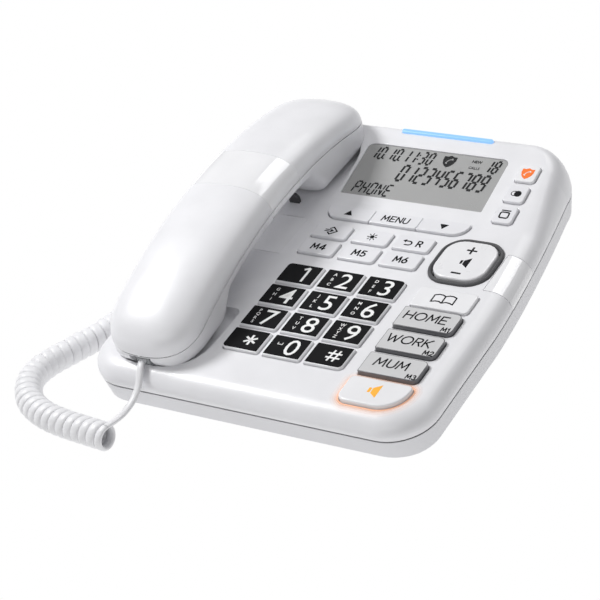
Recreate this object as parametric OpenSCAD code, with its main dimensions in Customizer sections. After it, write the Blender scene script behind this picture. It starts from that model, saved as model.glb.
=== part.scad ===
// Corded desk telephone: wedge base with a sloping deck, big keys, tilted display,
// arched handset lying front to back in two wells, and its curly cord.
// X runs across the telephone, Y towards its rear, Z up, with the table at Z = 0.
// Most parts are drawn in the deck frame: x across, v up the deck, w out of the deck.

/* [Base] */
// Width of the base at its front
base_w = 194; // [190:1:200]
// Distance of the front edge from the keypad centre, down the deck
front_v = 63.5; // [62:0.5:65]
// Distance of the rear edge from the keypad centre, up the deck
rear_v = 152.5; // [151:0.5:155]
// How much each side draws in towards the rear
side_taper = 12; // [8:0.5:13]
// Slope of the keypad deck against the table
deck_tilt = 7; // [6:0.5:8]
// Extra slope of the display against the keypad deck
screen_tilt = 10.3; // [9:0.1:11]
// Depth of the parting line between the two shells, below the deck
parting_d = 11; // [10.5:0.5:11.5]
// Depth of the rim's lower edge, below the deck
rim_d = 22.5; // [21.5:0.5:23.5]
// Wall thickness of the shells
wall = 2.2; // [2:0.1:2.4]

/* [Keys] */
// Distance between the columns of number keys
col_pitch = 24; // [24:0.1:24.4]
// Distance between the rows of number keys
row_pitch = 17.5; // [17.5:0.1:18]
// Width of a number key
key_w = 21.2; // [20:0.1:21.4]
// Height of a number key
key_h = 15; // [14:0.1:15.2]
// How far the keys stand out of the deck
key_proud = 2.2; // [2:0.1:2.6]
// Travel of a key
key_travel = 1.3; // [1:0.1:1.4]
// Gap round each key
key_gap = 0.4; // [0.3:0.05:0.5]

/* [Display] */
// Width of the display window
lcd_w = 84; // [80:1:86]
// Height of the display window, along its slope
lcd_h = 37; // [34:0.5:38]

/* [Handset] */
// Width of the handset
hs_w = 52; // [50:1:53]
// Height of its crown above the parting line, at the mouth end
hs_crown = 16.5; // [15:0.5:18]
// Depth of the grip below the parting line
grip_d = 11; // [10:0.5:12]
// Wall thickness of the handset
hs_wall = 2; // [1.8:0.1:2.2]

/* [Cord] */
// Outside diameter of the curly cord's coil
coil_d = 14.5; // [13:0.5:15]
// Width of the plain cord
cord_d = 4; // [3.6:0.1:4.4]

/* [Hidden] */

half_w = base_w / 2;
front_r = 23;
rear_r = 26;
taper_start = 16;
taper_len = 109;
crease_v = 83.5;
shoulder = 11;
belt_w = -8.5;
rim_in = 2.5;
foot_h = 1.5;
// Height of the deck's origin, where the floor just trims the rim's front edge
floor_trim = 0.4;
deck_z = foot_h - floor_trim + (front_v - rim_in) * sin(deck_tilt) + rim_d * cos(deck_tilt);
// Place of the origin in Y, which centres the base between its front and rear edges
deck_y = -((rear_v - front_v) / 2 * cos(deck_tilt) - belt_w * sin(deck_tilt));
far = 400;
eps = 0.02;

// Keys: centres in the deck frame
pad_x = 7.5;
row_v = [1.5 * row_pitch, 0.5 * row_pitch, -0.5 * row_pitch, -1.5 * row_pitch];
side_x = 67;
side_w = 32;
side_h = 14.5;
book_v = 25.4;
nav_x = 11;
nav_v = 78.5;
nav_w = 27.5;
nav_h = 9.4;
nav_pitch = 27.9;
func_x = 5.8;
func_v = 62.5;
func_w = 21;
func_h = 10.6;
func_pitch = 24.3;
memo_v = 48.9;
memo_h = 11.2;
free_v = -45;
free_w = 33.6;
free_h = 17;
free_r = 14;
small_x = 67;
small_s = 9.8;
small_pitch = 14.4;
small_w = 11.4;
key_r = 1.6;
flange_top = -2.6;
flange = 0.8;
free_flange_drop = 0.3;
key_foot = flange_top - key_travel;
mat_top = key_foot - key_travel - 0.4;
mat_t = 0.8;
board_t = 1.6;
label_t = 0.5;

// Volume rocker and its ring
rocker_x = 63.5;
rocker_v = 55.4;
rocker_w = 29.2;
ring_in = 30.8;
ring_w = 34.6;
ring_r = 12;
ring_top = 1;
ring_seat = -1.2;

// Display, light bar and side trims
lcd_x = 11;
lcd_s = 28.7;
lcd_t = 1.6;
lcd_ledge = 2;
bar_w = 55;
bar_s = 59.8;
bar_d = 2.8;
trim_right_v = [38, 66.5];
trim_left_v = [40.5, 71];
trim_t = 1.2;
trim_left = -38;
trim_right = 81.5;

// Handset: a long arch whose ends drop into two wells of the deck
hs_x = -60;
hs_front = -56.5;
hs_rear = 145;
hs_end = 26;
crown_fall = 2.8;
hs_peak_v = 60;
hs_peak_w = 27.8;
hs_arc = 524;
hs_lift_v = -33;
hs_lift = 4.6;
hs_power = 2.6;
mouth_bottom = -3.6;
ear_bottom = 1.4;
well_gap = 1.3;
mouth_v = [-53.5, -6];
ear_v = [84, 137];
mouth_floor = -4;
ear_floor = 1;
well_w = hs_w + 2 * well_gap;
hook_v = 114;
tab_x = -53;
tab_v = 82.4;

// Fixings, sockets and works inside the base
screw_at = [[-86, 10], [88, -12], [-70, 74], [60, 139]];
screw_w = -18;
screw_l = 13;
screw_r = 1.4;
foot_at = [[-78, -88], [78, -88], [-50, 66], [50, 66]];
foot_r = 6;
foot_sunk = 0.8;
board_x = 30;
board_v = 9;
board_l = 108;
board_h = 126;
board_w = mat_top - mat_t - board_t;
rib_x = [-18, 24, 70];
spk_x = -50;
spk_y = -44;
jack_l = 15;
jack_half = 6;
jack_half_w = 4.6;
plug_half = 3.8;
plug_half_w = 2.8;
line_x = 16;
line_v = 138.5;
line_w = -28.4;
power_x = 36;
power_half = 5.5;
hook_l = 9.4;
hook_h = 5.4;
spring_w = -16;
rocker_pivot = -3.4;
label_l = 27;
label_h = 9;
mic_v = -36;
receiver_v = 106;
receiver_hole_r = 4.5;
// Room under the two capsules, as the liner is curved
capsule_gap = 0.4;

// Cord: routes on the table, in X, Y and Z
cord_z = coil_d / 2;
plug_v = -54.5;
plug_w = 2.2;
plug_l = 10;
jack_v = 36;
jack_w = -28;
jack_x = -83.6;
coil_route = [
  [-58.1, -138.9], [-67.1, -138.2], [-76.1, -137.4], [-86.1, -136.4], [-96.6, -134.6], [-107.1, -131.2],
  [-116.6, -125.9], [-124.1, -118.4], [-129.1, -109.9], [-130.6, -100.9], [-129.1, -91.9], [-126.1, -83.4],
  [-123.1, -74.9], [-120.1, -66.4], [-117.9, -57.4], [-116.1, -48.4], [-115.1, -40.4], [-114.6, -32.4]
];
tail_route = [
  [-60, -100, 26.4], [-60, -103.6, 25.7], [-59.9, -107.2, 23.3], [-59.7, -110.4, 20],
  [-59.5, -113.8, 17], [-59.4, -118, 14.4], [-59.3, -122.4, 12.6], [-59.3, -126.2, 11.4],
  [-59.3, -129.8, 10.4]
];
lead_route = [
  [-114.6, -32.4, 7.2], [-113.6, -25.5, 7.1], [-111.3, -19.3, 7], [-107.8, -14, 7.1],
  [-103.3, -10, 7.2], [-97.6, -7.3, 7.4], [-91, -6.2, 7.5], [-84.6, -6.1, 7.5]
];
coil_sides = 12;
cord_sides = 8;

// Places one thing in the deck frame, or in the frame of the tilted display
module deck() translate([0, deck_y, deck_z]) rotate([deck_tilt, 0, 0]) children();
module screen() deck() translate([0, crease_v, 0]) rotate([screen_tilt, 0, 0]) children();
module at(x, v) translate([x, v, 0]) children();

// ---- Outlines ----

function span(middle, half) = [middle - half, middle + half];

function arc(cx, cy, r, a0, a1, n) =
  [for (i = [0 : n]) let (a = a0 + (a1 - a0) * i / n) [cx + r * cos(a), cy + r * sin(a)]];

// Corner points of a rounded rectangle, centred
function rrect(w, h, r, n = 4) = concat(
  arc(w / 2 - r, h / 2 - r, r, 0, 90, n), arc(r - w / 2, h / 2 - r, r, 90, 180, n),
  arc(r - w / 2, r - h / 2, r, 180, 270, n), arc(w / 2 - r, r - h / 2, r, 270, 360, n));

module plate(w, h, r, w0, w1) translate([0, 0, w0]) linear_extrude(w1 - w0) polygon(rrect(w, h, r));
module block(x, v, w) translate([x[0], v[0], w[0]]) cube([x[1] - x[0], v[1] - v[0], w[1] - w[0]]);

// Half-width of the base at v, and the height of the deck there
function half_at(v) = half_w - side_taper * pow(max(0, (v - taper_start) / taper_len), 1.5);
function deck_at(v) = max(0, (v - crease_v) * tan(screen_tilt));

// Right half of the base's outline, drawn in by i, from its front middle to its rear middle
function right_side(i) = let (
    rf = max(front_r - i, 1), rr = max(rear_r - i, 1), rear_x = half_at(rear_v - rear_r) - i - rr)
  concat(arc(half_w - i - rf, i + rf - front_v, rf, -90, 0, 5),
    [for (v = [taper_start, 40, 62, crease_v, 105]) [half_at(v) - i, v]],
    arc(rear_x, rear_v - i - rr, rr, 0, 90, 5));
function mirrored(pts) = [for (k = [len(pts) - 1 : -1 : 0]) [-pts[k][0], pts[k][1]]];

// A solid through rings of equal count, closed with strips that run straight across
module loft(rings) {
  n = len(rings[0]);
  last = (len(rings) - 1) * n;
  points = [for (ring = rings) each ring];
  walls = [for (k = [0 : len(rings) - 2], j = [0 : n - 1])
    [k * n + j, (k + 1) * n + j, (k + 1) * n + (j + 1) % n, k * n + (j + 1) % n]];
  strips = [for (j = [0 : n / 2 - 2]) [j, j + 1, n - 2 - j, n - 1 - j]];
  top = [for (s = strips) [last + s[3], last + s[2], last + s[1], last + s[0]]];
  polyhedron(points, concat(walls, strips, top), convexity = 8);
}

// A ring of the base at inset i and at height w, or at the share s of the way up to the deck
function flat_ring(i, w) = let (r = right_side(i)) [for (p = concat(r, mirrored(r))) [p[0], p[1], w]];
function deck_ring(i, s, d) = let (r = right_side(i))
  [for (p = concat(r, mirrored(r))) [p[0], p[1], belt_w + s * (deck_at(p[1]) - d - belt_w)]];

// The upper body, drawn in by d all round, with its lower face at w0
module upper_body(d, w0) {
  loft(concat([flat_ring(d + 0.4, w0), flat_ring(d, belt_w)],
    [for (a = [22, 45, 68, 90]) deck_ring(d + shoulder * (1 - cos(a)), sin(a), d)]));
}

// The lower body, drawn in by d, cut off by the table or the floor plate
module lower_body(d, w1) {
  deep = 32;
  difference() {
    deck() loft([flat_ring(d + rim_in + deep, -rim_d - deep), flat_ring(d + rim_in, -rim_d),
      flat_ring(d + 0.4, w1)]);
    translate([-far / 2, -far / 2, foot_h + d - far]) cube(far);
  }
}

// ---- Base shells ----

module trim_zone(grow) {
  block([trim_right - grow, half_w + 5], trim_right_v + [-grow, grow], [-parting_d - 1, 10]);
  block([-half_w - 5, trim_left + grow], trim_left_v + [-grow, grow], [-parting_d - 1, 10]);
}

module key_hole(x, v, w, h, r = key_r) at(x, v) plate(w + 2 * key_gap, h + 2 * key_gap, r + key_gap, -9, 9);

module key_holes() {
  for (r = [0 : 3], c = [-1 : 1]) key_hole(pad_x + c * col_pitch, row_v[r], key_w, key_h);
  for (c = [-1 : 1]) {
    key_hole(func_x + c * func_pitch, func_v, func_w, func_h);
    key_hole(func_x + c * func_pitch, memo_v, func_w, memo_h);
  }
  key_hole(nav_x, nav_v, 2 * nav_pitch + nav_w, nav_h);
  key_hole(side_x, book_v, side_w, side_h);
  for (r = [1 : 3]) key_hole(side_x, row_v[r], side_w, side_h);
  at(rocker_x, rocker_v) plate(ring_in, ring_in, ring_r - 2, -9, 9);
  at(rocker_x, rocker_v) plate(ring_w, ring_w, ring_r, ring_seat, 9);
  at(side_x, free_v) translate([0, 0, -9]) linear_extrude(18) polygon(free_outline(key_gap));
}

module screen_holes() {
  for (k = [0 : 2]) key_hole(small_x, small_s + k * small_pitch, small_w, small_w);
  at(lcd_x, lcd_s) plate(lcd_w, lcd_h, 3, -lcd_t, 9);
  at(lcd_x, lcd_s) plate(lcd_w - 2 * lcd_ledge, lcd_h - 2 * lcd_ledge, 2, -9, 9);
  at(lcd_x, bar_s) plate(bar_w, bar_d, 1.2, -9, 9);
}

module wells(grow, top) {
  block([hs_x - well_w / 2 - grow, hs_x + well_w / 2 + grow],
    [mouth_v[0] - well_gap - grow, mouth_v[1] + well_gap + grow], [mouth_floor - grow, top]);
  block([hs_x - well_w / 2 - grow, hs_x + well_w / 2 + grow],
    [ear_v[0] - well_gap - grow, ear_v[1] + well_gap + grow], [ear_floor - grow, top]);
}

module base_top_shell() color("whitesmoke") deck() difference() {
  union() {
    difference() {
      upper_body(0, -parting_d);
      upper_body(wall, -parting_d - 1);
    }
    intersection() {
      upper_body(eps, -parting_d + 1);
      wells(wall, 30);
    }
    intersection() {
      upper_body(1, -parting_d);
      for (p = screw_at) at(p[0], p[1]) translate([0, 0, -parting_d]) cylinder(r = 3.6, h = 26, $fn = 32);
    }
  }
  wells(0, 30);
  key_holes();
  translate([0, crease_v, 0]) rotate([screen_tilt, 0, 0]) screen_holes();
  difference() {
    trim_zone(0);
    upper_body(trim_t, -parting_d - 2);
  }
  for (p = screw_at) translate([p[0], p[1], screw_w - 1]) cylinder(r = screw_r, h = screw_l + 1, $fn = 32);
  at(hs_x, hook_v) plate(hook_l + 2 * key_gap, hook_h + 2 * key_gap, 1, -9, 9);
}

module side_trims() color("white") deck() intersection() {
  upper_body(0, -parting_d);
  difference() {
    trim_zone(-0.1);
    upper_body(trim_t, -parting_d - 2);
  }
}

module base_bottom_shell() color("gainsboro") {
  difference() {
    union() {
      difference() {
        lower_body(0, -parting_d);
        lower_body(wall, -parting_d + 1);
      }
      intersection() {
        lower_body(wall / 2, -parting_d);
        deck() {
          for (p = screw_at) translate([p[0], p[1], -60]) cylinder(r = 5, h = 60 - parting_d, $fn = 32);
          at(hs_x, hook_v) translate([0, 0, -60]) cylinder(r = 4, h = 60 + spring_w, $fn = 32);
        }
      }
      intersection() {
        deck() for (x = rib_x) block([x - 1, x + 1], [-40, 68], [-60, board_w]);
        translate([-far / 2, -far / 2, foot_h + wall / 2]) cube(far);
      }
    }
    deck() {
      for (p = screw_at) {
        at(p[0], p[1]) translate([0, 0, -60]) cylinder(r = screw_r + 0.3, h = 60, $fn = 32);
        at(p[0], p[1]) translate([0, 0, -60]) cylinder(r = 3.2, h = 60 + screw_w, $fn = 32);
      }
      block([jack_x - 30, jack_x + jack_l], span(jack_v, jack_half), span(jack_w, jack_half_w));
      block(span(line_x, jack_half), [line_v - jack_l, 170], span(line_w, jack_half_w));
      block(span(power_x, power_half), [line_v - jack_l, 170], span(line_w, jack_half_w));
    }
    for (k = [0 : 8]) translate([spk_x + 6 * (k % 3 - 1), spk_y + 6 * (floor(k / 3) - 1), -1])
      cylinder(r = 1.2, h = 9, $fn = 24);
    feet();
  }
}

module feet() for (p = foot_at) translate([p[0], p[1], 0])
  cylinder(r = foot_r, h = foot_h + foot_sunk, $fn = 48);
module rubber_feet() color("dimgray") feet();

module base_screws() color("silver") deck() for (p = screw_at) at(p[0], p[1]) {
  translate([0, 0, screw_w]) cylinder(r = screw_r, h = screw_l, $fn = 32);
  difference() {
    translate([0, 0, screw_w - 2]) cylinder(r = 2.8, h = 2, $fn = 32);
    for (a = [0, 90]) translate([0, 0, screw_w - 1.5]) rotate([0, 0, a]) cube([3.4, 0.7, 2], center = true);
  }
}

// ---- Inside the base ----

module main_board() color("darkgreen") deck() at(board_x, board_v)
  plate(board_l, board_h, 5, board_w, board_w + board_t);
module key_mat() color("lightgray") deck() at(board_x, board_v)
  plate(board_l - 2, board_h - 2, 4, mat_top - mat_t, mat_top);
module loudspeaker() color("dimgray") translate([spk_x, spk_y, foot_h + wall]) difference() {
  cylinder(r = 18, h = 9, $fn = 64);
  translate([0, 0, -1]) cylinder(r = 15, h = 3, $fn = 64);
}

module bar(l, half, half_w) translate([0, -half, -half_w]) cube([l, 2 * half, 2 * half_w]);
module plug(l) bar(l, plug_half, plug_half_w);
module socket(l) difference() {
  bar(l, jack_half, jack_half_w);
  translate([-1, 0, 0]) bar(plug_l + 2.5, plug_half + 0.3, plug_half_w + 0.3);
}

module handset_jack() color("dimgray") deck() translate([jack_x, jack_v, jack_w]) socket(jack_l);
module cord_plug() color("lightgray") deck() translate([jack_x - 1, jack_v, jack_w]) plug(plug_l);
module line_jack() color("dimgray") deck() translate([line_x, line_v, line_w]) rotate([0, 0, -90])
  socket(jack_l);
module power_jack() color("black") deck() translate([power_x, line_v, line_w]) rotate([90, 0, 0])
  difference() {
  translate([-power_half, -jack_half_w, 0]) cube([2 * power_half, 2 * jack_half_w, jack_l]);
  translate([0, 0, -1]) difference() {
    cylinder(r = 2.9, h = 10, $fn = 40);
    cylinder(r = 0.8, h = 11, $fn = 24);
  }
}

module hook_plunger() color("whitesmoke") deck() at(hs_x, hook_v) {
  plate(hook_l, hook_h, 1, -7.4, ear_floor + 0.1);
  plate(hook_l + 3, hook_h + 3, 1, -7.4, -5.8);
}
module hook_spring() color("silver") deck() at(hs_x, hook_v) translate([0, 0, spring_w]) difference() {
  cylinder(r = 3, h = -7.4 - spring_w, $fn = 32);
  translate([0, 0, -1]) cylinder(r = 2.2, h = 20, $fn = 32);
}

// ---- Display and trims ----

module lcd_window() color("lightgray") screen() at(lcd_x, lcd_s)
  plate(lcd_w - 0.2, lcd_h - 0.2, 2.9, -lcd_t, 0);
module lcd_panel() color("darkseagreen") screen() {
  at(lcd_x, lcd_s) plate(lcd_w - 4.4, lcd_h - 4.4, 1, -6.2, -lcd_t);
  at(22.5, 27) plate(103, 46, 3, -7.8, -6.2);
}
module light_bar() color("lightskyblue") screen() at(lcd_x, bar_s)
  plate(bar_w - 0.2, bar_d - 0.2, 1.1, -4, 0.3);
module handset_tab() color("dimgray") deck() translate([tab_x, tab_v, 0]) rotate([90, 0, 0])
  translate([0, 0, -1]) linear_extrude(2) polygon(concat([[-3, 0], [3, 0]], arc(0, 2.6, 3, 0, 180, 8)));

// ---- Keys ----

module cap(w, h, r = key_r, side = flange) {
  plate(w, h, r, key_foot, key_proud);
  plate(w + 2 * side, h + 2 * flange, r, key_foot, flange_top);
}
module num_key(c, r) color("white") deck() at(pad_x + c * col_pitch, row_v[r]) cap(key_w, key_h);
module func_key(c, v, h) color("gainsboro") deck() at(func_x + c * func_pitch, v) cap(func_w, h, 2.6);
module nav_key(c) color("gainsboro") deck() at(nav_x + c * nav_pitch, nav_v) cap(nav_w, nav_h, 1.2, 0);
module small_key(k) color("gainsboro") screen() at(small_x, small_s + k * small_pitch)
  cap(small_w, small_w, 2.4);
module name_key(r) color("white") deck() at(side_x, row_v[r]) difference() {
  cap(side_w, side_h);
  translate([0, 1, 0]) plate(label_l, label_h, 0.5, key_proud - label_t, 9);
}
module name_label(r) color("lightgray") deck() at(side_x, row_v[r] + 1)
  plate(label_l, label_h, 0.5, key_proud - label_t, key_proud);

module key_1() num_key(-1, 0);
module key_2() num_key(0, 0);
module key_3() num_key(1, 0);
module key_4() num_key(-1, 1);
module key_5() num_key(0, 1);
module key_6() num_key(1, 1);
module key_7() num_key(-1, 2);
module key_8() num_key(0, 2);
module key_9() num_key(1, 2);
module key_star() num_key(-1, 3);
module key_0() num_key(0, 3);
module key_hash() num_key(1, 3);
module key_up() nav_key(-1);
module key_menu() nav_key(0);
module key_down() nav_key(1);
module key_redial() func_key(-1, func_v, func_h);
module key_brightness() func_key(0, func_v, func_h);
module key_flash() func_key(1, func_v, func_h);
module key_m4() func_key(-1, memo_v, memo_h);
module key_m5() func_key(0, memo_v, memo_h);
module key_m6() func_key(1, memo_v, memo_h);
module key_phonebook() color("white") deck() at(side_x, book_v) cap(side_w, side_h);
module key_m1() name_key(1);
module key_m2() name_key(2);
module key_m3() name_key(3);
module label_m1() name_label(1);
module label_m2() name_label(2);
module label_m3() name_label(3);
module key_block() small_key(2);
module key_toggle() small_key(1);
module key_clear() small_key(0);

// Outline of the hands-free key: straight top, one large sweep at its lower right
function free_outline(g) = concat(
  arc(free_w / 2 - 2, free_h / 2 - 2, 2 + g, 0, 90, 3),
  arc(2 - free_w / 2, free_h / 2 - 2, 2 + g, 90, 180, 3),
  arc(5 - free_w / 2, 5 - free_h / 2, 5 + g, 180, 270, 4),
  arc(free_w / 2 - free_r, free_r - free_h / 2, free_r + g, 270, 360, 8));

module key_handsfree() color("white") deck() at(side_x, free_v) {
  translate([0, 0, key_foot]) linear_extrude(key_proud - key_foot) polygon(free_outline(0));
  translate([0, 0, key_foot]) linear_extrude(flange_top - free_flange_drop - key_foot)
    polygon(free_outline(flange));
}

module volume_rocker() color("darkgray") deck() at(rocker_x, rocker_v) {
  plate(rocker_w, rocker_w, ring_r - 2.4, key_foot, key_proud);
  translate([-17.2, 0, rocker_pivot]) rotate([0, 90, 0]) cylinder(r = 0.8, h = 34.4, $fn = 24);
}
module volume_ring() color("dimgray") deck() at(rocker_x, rocker_v) difference() {
  plate(ring_w - 0.1, ring_w - 0.1, ring_r, ring_seat, ring_top);
  plate(ring_in, ring_in, ring_r - 2, ring_seat - 1, ring_top + 1);
}

// ---- Handset ----

function clamp(t) = min(1, max(0, t));
function smooth(t) = let (c = clamp(t)) c * c * (3 - 2 * c);
function hs_part(v) = hs_peak_w - pow(v - hs_peak_v, 2) / hs_arc
  + hs_lift * pow(clamp((hs_lift_v - v) / 24), 2);
// Fullness of the plan and crown at v: 1 along the middle, falling to a small blunt end
function hs_full(v) = let (u = clamp(1 - min(v - hs_front, hs_rear - v) / hs_end))
  max(0.25, pow(1 - pow(u, hs_power), 1 / hs_power));
// 1 along the grip, 0 along the two cups
function hs_grip(v) = v < 40 ? smooth((v + 18) / 14) : smooth((92 - v) / 13);
function hs_low(v) = let (g = hs_grip(v), cup = v < 40 ? mouth_bottom : ear_bottom,
    run = cup * (1 - g) + (hs_part(v) - grip_d) * g)
  max(run, v < 40 ? 0.6 - 1.65 * (v + 54.2) : min(ear_bottom + 2.4 * (v - 134), 11 + 0.3 * (v - 138)));
function hs_inner_v(v) = v + hs_wall * (clamp((hs_front + 30 - v) / 30) - clamp((v - hs_rear + 30) / 30));
function crown_at(v) = hs_crown - crown_fall * smooth((v - hs_front) / 110);
function bow(s, e) = sign(s) * pow(abs(s), 2 / e);

// Half a ring across the handset at v: side is 1 above the parting line and -1 below, t the wall
function hs_ring(v, side, t) = let (
    full = hs_full(v), w0 = hs_part(v), half = hs_w / 2 * full - t,
    tall = side > 0 ? crown_at(v) * full : w0 - hs_low(v),
    high = t > 0 ? max(tall - t, tall / 4) : tall,
    e = side > 0 ? hs_power : 4 - 1.6 * hs_grip(v),
    v1 = t > 0 ? hs_inner_v(v) : v)
  [for (a = [0 : 12]) let (q = side * a * 15) [half * bow(cos(q), e), v1, w0 + high * bow(sin(q), e)]];

stations = [hs_front, -56, -55, -53.5, -51.6, -48, -42, -34, -26, -18, -14.5, -11, -7.5, -4, 6, 20, 40, 60,
  76, 79, 82, 85.5, 89, 92, 100, 110, 119, 126, 131, 134, 136, 138, 140.5, 143, 144.4, hs_rear];

// A bowl between its outer and its inner skin
module hs_shell(side) {
  n = 13;
  m = len(stations);
  rings = concat([for (v = stations) hs_ring(v, side, 0)], [for (v = stations) hs_ring(v, side, hs_wall)]);
  skin = [for (k = [0 : m - 2], a = [0 : n - 2]) let (p = k * n + a) [p, p + n, p + n + 1, p + 1]];
  liner = [for (f = skin) [f[3] + m * n, f[2] + m * n, f[1] + m * n, f[0] + m * n]];
  rims = [for (k = [0 : m - 2], a = [0, n - 1]) let (p = k * n + a, q = p + n, r = p + m * n, s = q + m * n)
    a == 0 ? [p, r, s, q] : [p, q, s, r]];
  last = (m - 1) * n;
  caps = [[for (a = [0 : n - 1]) a], [for (a = [0 : n - 1]) last + n - 1 - a],
    [for (a = [0 : n - 1]) m * n + n - 1 - a], [for (a = [0 : n - 1]) m * n + last + a],
    [n - 1, m * n + n - 1, m * n, 0], [last, m * n + last, m * n + last + n - 1, last + n - 1]];
  faces = concat(skin, liner, rims, caps);
  polyhedron([for (ring = rings) each ring],
    side > 0 ? faces : [for (f = faces) [for (k = [len(f) - 1 : -1 : 0]) f[k]]], convexity = 8);
}

module handset_upper_shell() color("whitesmoke") deck() at(hs_x, 0) hs_shell(1);
module handset_lower_shell() color("whitesmoke") deck() difference() {
  at(hs_x, 0) hs_shell(-1);
  block(span(hs_x, 6.5), [-60, -45], [-5, 5.8]);
  for (a = [0 : 72 : 288]) at(hs_x + receiver_hole_r * cos(a), receiver_v + receiver_hole_r * sin(a))
    cylinder(r = 1, h = 5, $fn = 20);
  at(hs_x, mic_v) translate([0, 0, -5]) cylinder(r = 1, h = 5, $fn = 20);
}
module handset_receiver() color("dimgray") deck() at(hs_x, receiver_v)
  translate([0, 0, ear_bottom + hs_wall + capsule_gap]) {
    cylinder(r = 8, h = 1.2, $fn = 48);
    translate([0, 0, 1.1]) cylinder(r = 12.5, h = 4.5, $fn = 64);
  }
module handset_microphone() color("dimgray") deck() at(hs_x, mic_v)
  translate([0, 0, mouth_bottom + hs_wall + capsule_gap]) cylinder(r = 5, h = 4, $fn = 40);
module handset_plug() color("lightgray") deck() translate([hs_x, plug_v, plug_w]) rotate([0, 0, 90])
  plug(plug_l);

// ---- Cord ----

function unit(a) = a / norm(a);
function heading(route, k) = unit(route[min(k + 1, len(route) - 1)] - route[max(k - 1, 0)]);
function tube_ring(c, d, r, n) = let (across = unit(cross(d, [0, 0, 1])), up = cross(across, d))
  [for (j = [0 : n - 1]) let (a = 360 * (j + 0.5) / n)
    c + r / cos(180 / n) * (across * cos(a) + up * sin(a))];

// A tube through the points of a route
module tube(route, r, n) {
  m = len(route);
  points = [for (k = [0 : m - 1]) each tube_ring(route[k], heading(route, k), r, n)];
  sides = [for (k = [0 : m - 2], j = [0 : n - 1])
    [k * n + j, k * n + (j + 1) % n, (k + 1) * n + (j + 1) % n, (k + 1) * n + j]];
  ends = [[for (j = [n - 1 : -1 : 0]) j], [for (j = [0 : n - 1]) (m - 1) * n + j]];
  polyhedron(points, concat(sides, ends), convexity = 6);
}

module cord_coil() color("gainsboro")
  tube([for (p = coil_route) [p[0], p[1], cord_z]], coil_d / 2, coil_sides);
module cord_tail() color("gainsboro") tube(tail_route, cord_d / 2, cord_sides);
module cord_lead() color("gainsboro") tube(lead_route, cord_d / 2, cord_sides);

base_top_shell();
base_bottom_shell();
side_trims();
lcd_window();
lcd_panel();
light_bar();
main_board();
key_mat();
loudspeaker();
line_jack();
power_jack();
handset_jack();
rubber_feet();
base_screws();
volume_ring();
handset_tab();
hook_plunger();
hook_spring();
volume_rocker();
key_1();
key_2();
key_3();
key_4();
key_5();
key_6();
key_7();
key_8();
key_9();
key_star();
key_0();
key_hash();
key_up();
key_menu();
key_down();
key_redial();
key_brightness();
key_flash();
key_m4();
key_m5();
key_m6();
key_phonebook();
key_m1();
key_m2();
key_m3();
label_m1();
label_m2();
label_m3();
key_handsfree();
key_block();
key_toggle();
key_clear();
handset_upper_shell();
handset_lower_shell();
handset_receiver();
handset_microphone();
handset_plug();
cord_coil();
cord_tail();
cord_lead();
cord_plug();
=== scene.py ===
"""Corded desk telephone: looks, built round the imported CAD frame.

Lengths are millimetres in the deck frame (x across, v up the deck, w out of it) or, for the cord, in the
row frame. DECK and SCREEN turn deck and display millimetres into the row frame's metres.
"""
import math
import bmesh
import bpy
from mathutils import Matrix, Vector


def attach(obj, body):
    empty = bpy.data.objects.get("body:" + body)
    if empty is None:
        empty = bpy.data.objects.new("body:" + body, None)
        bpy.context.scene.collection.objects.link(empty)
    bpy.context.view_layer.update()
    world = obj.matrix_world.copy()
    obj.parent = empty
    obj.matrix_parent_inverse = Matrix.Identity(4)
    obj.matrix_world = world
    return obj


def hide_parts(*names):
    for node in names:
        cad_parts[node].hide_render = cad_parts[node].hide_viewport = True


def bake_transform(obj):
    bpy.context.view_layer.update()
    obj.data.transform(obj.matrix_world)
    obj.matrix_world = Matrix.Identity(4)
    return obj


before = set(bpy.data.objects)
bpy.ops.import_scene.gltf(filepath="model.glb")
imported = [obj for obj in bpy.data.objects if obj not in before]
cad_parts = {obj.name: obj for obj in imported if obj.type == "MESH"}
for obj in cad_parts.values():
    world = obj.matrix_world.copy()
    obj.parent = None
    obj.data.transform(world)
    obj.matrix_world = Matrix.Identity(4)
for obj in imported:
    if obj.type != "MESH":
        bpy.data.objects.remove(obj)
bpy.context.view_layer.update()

# ---------------------------------------------------------------- frame
MM = 0.001
DECK_TILT = math.radians(7)
SCREEN_TILT = math.radians(10.3)
DECK_Y = -45.204
DECK_Z = 30.866
CREASE_V = 83.5
DECK = (
    Matrix.Scale(MM, 4)
    @ Matrix.Translation((0, DECK_Y, DECK_Z))
    @ Matrix.Rotation(DECK_TILT, 4, "X")
)
SCREEN = DECK @ Matrix.Translation((0, CREASE_V, 0)) @ Matrix.Rotation(SCREEN_TILT, 4, "X")
ROW = Matrix.Scale(MM, 4)

# ---------------------------------------------------------------- camera
CAMERA_AT = Vector((0.5493, -0.7513, 0.5645))
CAMERA_FORWARD = Vector((-0.52908, 0.68061, -0.50680))
CAMERA_UP = Vector((-0.148, 0.514, 0.845))
CAMERA_LENS = 127.2


def make_camera():
    data = bpy.data.cameras.new("camera")
    data.lens = CAMERA_LENS
    data.sensor_width = 36
    data.clip_start = 0.05
    camera = bpy.data.objects.new("camera", data)
    bpy.context.collection.objects.link(camera)
    back = -CAMERA_FORWARD.normalized()
    right = CAMERA_UP.cross(back).normalized()
    turn = Matrix((right, back.cross(right), back)).transposed()
    camera.matrix_world = Matrix.Translation(CAMERA_AT) @ turn.to_4x4()
    bpy.context.scene.camera = camera


make_camera()

# ---------------------------------------------------------------- materials


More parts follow.
